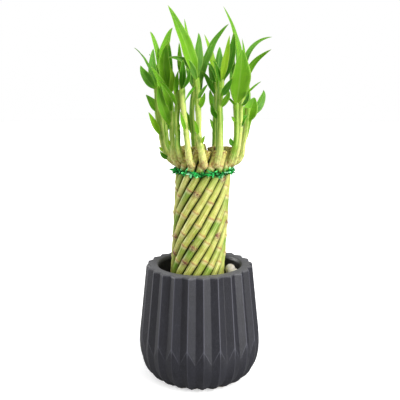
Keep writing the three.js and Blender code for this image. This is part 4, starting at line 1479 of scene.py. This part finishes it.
def smooth_route(places):
    """Points of a centripetal spline through the places."""
    ends = [2 * places[0] - places[1], *places, 2 * places[-1] - places[-2]]
    points = []
    for a, b, c, d in zip(ends, ends[1:], ends[2:], ends[3:]):
        before, span, after = (math.sqrt((y - x).length) for x, y in ((a, b), (b, c), (c, d)))
        leaving = ((b - a) / before - (c - a) / (before + span) + (c - b) / span) * span
        arriving = ((c - b) / span - (d - b) / (span + after) + (d - c) / after) * span
        for step in range(STEM_STEPS):
            t = step / STEM_STEPS
            near, far = 2 * t**3 - 3 * t**2 + 1, 3 * t**2 - 2 * t**3
            points.append(near * b + far * c + (t**3 - 2 * t**2 + t) * leaving + (t**3 - t**2) * arriving)
    return [*points, places[-1]]


curves = [smooth_route([cane_middle(cane, shoot.route[0].z), *shoot.route])
          for cane, shoot in enumerate(SHOOTS)]
print("longest stem:", round(max((curve[-1] - curve[0]).length for curve in curves)), "mm")

# %% [markdown]
# A stem narrows quickly above its foot, and a low edge stands out wherever a leaf's sheath ends.
# Its tint goes from a rosy foot over nearly white to green, the sooner the greener the stem is.

# %% Stems as paths
STEM_SLIM, STEM_TIP = 2.7, 2.8  # radius above the foot, and at the top
SLIM_BY, TIP_FROM = 0.35, 0.5  # parts of a stem's length
STEM_WHITE = linear(236, 232, 148)
STEM_GREENS = (linear(158, 194, 74), linear(98, 150, 34))
STEM_FOOT = linear(222, 186, 130)
FOOT_FROM, FOOT_FADE = 0.03, 0.1  # parts of a stem's length
GREEN_FROM, GREEN_BY = 226, (318, 196)  # heights where a stem starts to be green, and is so in full
GREEN_SOONEST = 12  # least height between the two
SHEATH_EDGE = 0.3  # how far the edge of a leaf's sheath stands out from the stem
SHEATH_WIDTH, SHEATH_FRESH = 1.6, 0.45  # the edge's reach along the stem, and how fresh a green it is


def mix(first, second, share):
    """A colour between two, with a share that is held between 0 and 1."""
    return Vector(first).lerp(Vector(second), max(0.0, min(1.0, share)))


def stem_tint(shoot, height, along, edge):
    """A stem's colour at a height and a part of its length, where a sheath's edge is 0 to 1 near."""
    sooner, later = GREEN_BY[1], GREEN_BY[0]
    full_green = max(later + (sooner - later) * shoot.greenness, GREEN_FROM + GREEN_SOONEST)
    green = mix(*STEM_GREENS, shoot.greenness)
    tint = mix(STEM_WHITE, green, (height - GREEN_FROM) / (full_green - GREEN_FROM))
    tint = mix(tint, FRESH, SHEATH_FRESH * edge)
    return mix(STEM_FOOT, tint, (along - FOOT_FROM) / FOOT_FADE)


def stem_path(shoot, curve):
    """The stem's points: slim towards the top, with a low edge where each leaf's sheath ends."""
    steps = [(there - here).length for here, there in zip(curve, curve[1:])]
    whole, length = sum(steps), 0.0
    side = (curve[1] - curve[0]).orthogonal()
    path = []
    for number, place in enumerate(curve):
        run = (curve[min(number + 1, len(curve) - 1)] - curve[max(number - 1, 0)]).normalized()
        side = (side - run * side.dot(run)).normalized()
        along = length / whole
        radius = shoot.base + (STEM_SLIM - shoot.base) * min(along / SLIM_BY, 1)
        radius -= (STEM_SLIM - STEM_TIP) * max(along - TIP_FROM, 0) / (1 - TIP_FROM)
        edge = max(bell(place.z - leaf[0], SHEATH_WIDTH) for leaf in shoot.leaves)
        path.append({"place": place, "thick": (radius + SHEATH_EDGE * edge) * MM, "side": side.copy(),
                     "lift": Vector(), "phase": 0.0, "blade": 0.0,
                     "tint": stem_tint(shoot, place.z, along, edge)})
        if number < len(steps):
            length += steps[number]
    return path


print("points on the first stem's path:", len(stem_path(SHOOTS[0], curves[0])))

# %% [markdown]
# A blade's midrib is one quadratic arc from the stem, through its middle place, to its tip. The
# blade's side points across the rib, square to the way that its face looks, and twists a little
# towards the tip. Its width swells early and runs out to a fine point. It starts fresh green at the
# stem, takes its own tone, and deepens towards the tip.

# %% Blades as paths
BLADE_STEPS = 22
BLADE_BASE = 0.1  # the clasping base's width, against the greatest
BLADE_LEAST = 0.12
BLADE_EARLY = 0.8  # below 1, a blade is widest nearer to its base
SLENDER_BASE, SLENDER_LOSS = 1.5, 0.8  # the outline is hollow at the base, and fuller towards the tip
TIP_TWIST = 18  # degrees, at most
SHADE_LEAST, SHADE_SPREAD = 0.9, 0.2  # how light a blade is, by its seeded draw
# Painted light: blades that face to the plant's left, away from the key light, are made paler.
PAINTED_LIGHT_AWAY, AWAY = 0.45, 40  # how much paler a blade is that faces 40 degrees to the plant's left
TONE_AT_BASE, TONE_BY = 0.35, 0.3  # share of its own tone at the stem, and how soon that grows by 1
DEEP_FROM, DEEP_RISE = 0.5, 1.1  # where a blade starts to deepen, and how fast


def blade_width(along):
    """A blade's width against its greatest, from its clasping base, at 0, to its tip, at 1."""
    swelling = max(math.sin(math.pi * along**BLADE_EARLY), 0)
    return BLADE_BASE * (1 - along) ** 2 + swelling ** (SLENDER_BASE - SLENDER_LOSS * along)


def blade_path(curve, leaf, draw):
    """A blade's points along its midrib, from the stem to its tip."""
    height, middle, tip, width, face, tone = leaf
    start = min(curve, key=lambda place: abs(place.z - height))
    tip = Vector(tip)
    bend = 2 * Vector(middle) - 0.5 * start - 0.5 * tip
    turn = math.radians(face)
    face_way = Vector((math.sin(turn), -math.cos(turn), 0))
    twist = math.radians(TIP_TWIST) * (2 * next(draw) - 1)
    phase = math.tau * next(draw)
    # painted light on blades that face away to the left
    shade = (SHADE_LEAST + SHADE_SPREAD * next(draw)) * (1 + PAINTED_LIGHT_AWAY * max(-face, 0) / AWAY)
    path = []
    for step in range(BLADE_STEPS + 1):
        along = step / BLADE_STEPS
        place = start.lerp(bend, along).lerp(bend.lerp(tip, along), along)
        run = (bend - start).lerp(tip - bend, along).normalized()
        side = Matrix.Rotation(twist * along**2, 3, run) @ run.cross(face_way).normalized()
        tint = mix(FRESH, Vector(tone) * shade, TONE_AT_BASE + along / TONE_BY)
        tint = mix(tint, DEEP, DEEP_RISE * (along - DEEP_FROM))
        half = max(width / 2 * blade_width(along), BLADE_LEAST)
        path.append({"place": place, "thick": half * MM, "side": side, "lift": run.cross(side),
                     "phase": phase, "blade": 1.0, "tint": tint})
    return path


widest = max(range(101), key=lambda part: blade_width(part / 100))
print(f"a blade is widest {widest}% of the way to its tip")

# %% [markdown]
# One tree makes a whole shoot. It splits the paths in two: a stem gets a round section, and a
# blade gets a circle that is pressed nearly flat and folded along its middle. The blades'
# edges then rise and fall in slow waves, more so towards the rim, as on a soft living leaf.

# %% Shoots
STEM_SECTION = 16
BLADE_SECTION = 16
BLADE_THIN = 0.055  # half a blade's thickness, against half its width
BLADE_FOLD = 0.34
WAVE_HEIGHT = 0.1  # against half the width
WAVES_PER_METRE = 260.0
BLADE_SEED = 4000


def blade_section(tree):
    """A circle pressed flat and folded: low at both edges, high along the middle."""
    ring = round_section(tree, BLADE_SECTION)
    place = put(tree, "ShaderNodeSeparateXYZ", {0: put(tree, "GeometryNodeInputPosition").outputs[0]})
    fold = times(tree, maths(tree, "ABSOLUTE", place.outputs["X"]), -BLADE_FOLD)
    high = maths(tree, "ADD", fold, times(tree, place.outputs["Y"], BLADE_THIN))
    pressed = put(tree, "ShaderNodeCombineXYZ", {"X": place.outputs["X"], "Y": high}).outputs[0]
    return put(tree, "GeometryNodeSetPosition", {"Geometry": ring, "Position": pressed}).outputs[0]


def wave_edges(tree, blades):
    """Moves a blade's edges up and down along its length."""
    length = put(tree, "ShaderNodeSeparateXYZ", {0: named(tree, "fibre", "FLOAT_VECTOR")}).outputs["X"]
    angle = maths(tree, "ADD", times(tree, length, WAVES_PER_METRE), named(tree, "phase"))
    across = named(tree, "across")
    reach = times(tree, times(tree, across, across), named(tree, "thick"))
    amount = times(tree, reach, times(tree, maths(tree, "SINE", angle), WAVE_HEIGHT))
    lift = named(tree, "lift", "FLOAT_VECTOR")
    offset = put(tree, "ShaderNodeVectorMath", {0: lift, "Scale": amount}, operation="SCALE").outputs[0]
    return put(tree, "GeometryNodeSetPosition", {"Geometry": blades, "Offset": offset}).outputs[0]


def shoot_tree():
    """A stem and its blades, each swept along its own path."""
    tree, given = geometry_tree("leafy shoot", {"Skin": bpy.types.Material})
    parted = put(tree, "GeometryNodeSeparateGeometry", {
        "Geometry": given["Geometry"], "Selection": named(tree, "blade")}, domain="POINT")
    blades = wave_edges(tree, sweep(tree, parted.outputs["Selection"], blade_section(tree)))
    stem = sweep(tree, parted.outputs["Inverted"], round_section(tree, STEM_SECTION))
    end_tree(tree, shaded_smooth(tree, joined(tree, stem, blades)), given["Skin"])
    return tree


SHOOT_TREE = shoot_tree()
shoots = []
for number, (shoot, curve) in enumerate(zip(SHOOTS, curves)):
    draw = drawer(BLADE_SEED + number)
    paths = [stem_path(shoot, curve), *[blade_path(curve, leaf, draw) for leaf in shoot.leaves]]
    mesh = run_tree(SHOOT_TREE, path_mesh(paths), {"Skin": SHOOT_FINISH})
    node = f"shoot_{number + 1:02d}"
    shoots.append(finish_piece(f"leafy_{node}", mesh, "leaf", node))
report("shoots", shoots)

# %% [markdown]
# The tie is a wire wound with tinsel. Its wire is a closed ring of points round the bundle, which
# rises and falls a little, because it was twisted on by hand.

# %% The wire's course
TIE_RADIUS = 28.5
TIE_SWAY = 1.1  # how far the wire rises and falls
TIE_WAVES, TIE_WAVE_START = (3, 5), 1
TIE_STEPS = 96


def tie_path():
    """A closed ring round the bundle, at the tie's height."""
    centre = Vector((LEAN * (TIE_HEIGHT - LEAN_START), 0, TIE_HEIGHT))
    places = []
    for step in range(TIE_STEPS):
        turn = math.tau * step / TIE_STEPS
        slow, quick = TIE_WAVES[0] * turn + TIE_WAVE_START, TIE_WAVES[1] * turn
        height = TIE_SWAY * math.sin(slow) * math.sin(quick)
        aside = Vector((TIE_RADIUS * math.cos(turn), TIE_RADIUS * math.sin(turn), height))
        places.append((centre + aside) * MM)
    mesh = bpy.data.meshes.new("tie")
    mesh.from_pydata(places, [(step, (step + 1) % TIE_STEPS) for step in range(TIE_STEPS)], [])
    return mesh


print(f"the wire is about {math.tau * TIE_RADIUS:.0f} mm long")

# %% [markdown]
# The tree places points along the wire and puts one thin, pointed shred on each, turned any way,
# then gives each shred one random number for its tone of painted glint or shade. The number is
# stored on the instances, before they become real faces, so a whole shred shares it.

# %% Tinsel tie
WIRE, WIRE_SIDES = 0.6, 8
WIRE_TONE = 0.05
SHREDS = 560
SHRED_LENGTH = 6.6
SHRED_WIDTH = 1.7  # half the width at a shred's wide end
SHRED_THIN = 0.12
SHRED_CORNERS = 4
SHRED_POINT = 0.12  # the narrow end, against the wide one
SHRED_SIZES = ((0.7, 0.8, 0.45), (1.3, 1.2, 1.0))
ANY_TURN = ((0, 0, 0), (math.tau,) * 3)
TINSEL_SEED = 11
TURN_AND_TONE_SEEDS = (7, 3)  # added to the seed of the sizes


def tinsel_tree():
    """A wire along the path, and thin pointed shreds that stand out from it any way."""
    tree, given = geometry_tree("tinsel on a wire", {
        "Shreds": int, "Length": float, "Width": float, "Thickness": float, "Wire": float,
        "Seed": int, "Skin": bpy.types.Material})
    turn_seed, tone_seed = [maths(tree, "ADD", given["Seed"], more) for more in TURN_AND_TONE_SEEDS]
    chain = put(tree, "GeometryNodeMeshToCurve", {"Mesh": given["Geometry"]}).outputs[0]
    wire = put(tree, "GeometryNodeCurveToMesh", {
        "Curve": chain, "Profile Curve": round_section(tree, WIRE_SIDES), "Scale": given["Wire"]})
    wire = store(tree, wire.outputs[0], "shred", WIRE_TONE)
    points = put(tree, "GeometryNodeCurveToPoints", {
        "Curve": chain, "Count": given["Shreds"]}, mode="COUNT")
    shred = put(tree, "GeometryNodeMeshCone", {
        "Vertices": SHRED_CORNERS, "Radius Top": SHRED_POINT, "Radius Bottom": 1.0, "Depth": 1.0})
    size = put(tree, "ShaderNodeCombineXYZ", {
        "X": given["Width"], "Y": given["Thickness"], "Z": given["Length"]}).outputs[0]
    luck = random_vector(tree, *SHRED_SIZES, given["Seed"])
    scale = put(tree, "ShaderNodeVectorMath", {0: size, 1: luck}, operation="MULTIPLY").outputs[0]
    shreds = put(tree, "GeometryNodeInstanceOnPoints", {
        "Points": points.outputs["Points"], "Instance": shred.outputs["Mesh"],
        "Rotation": random_vector(tree, *ANY_TURN, turn_seed), "Scale": scale}).outputs[0]
    tone = put(tree, "FunctionNodeRandomValue", {"Seed": tone_seed}, data_type="FLOAT").outputs[1]
    toned = store(tree, shreds, "shred", tone, domain="INSTANCE")
    end_tree(tree, joined(tree, wire, toned), given["Skin"])
    return tree


tie_values = {
    "Shreds": SHREDS, "Length": SHRED_LENGTH * MM, "Width": SHRED_WIDTH * MM,
    "Thickness": SHRED_THIN * MM, "Wire": WIRE * MM, "Seed": TINSEL_SEED, "Skin": TINSEL_FINISH}
tie_mesh = run_tree(tinsel_tree(), tie_path(), tie_values)
tie = finish_piece("tinsel_wrap", tie_mesh, "tinsel", "tinsel_tie")
report("tie", [tie])
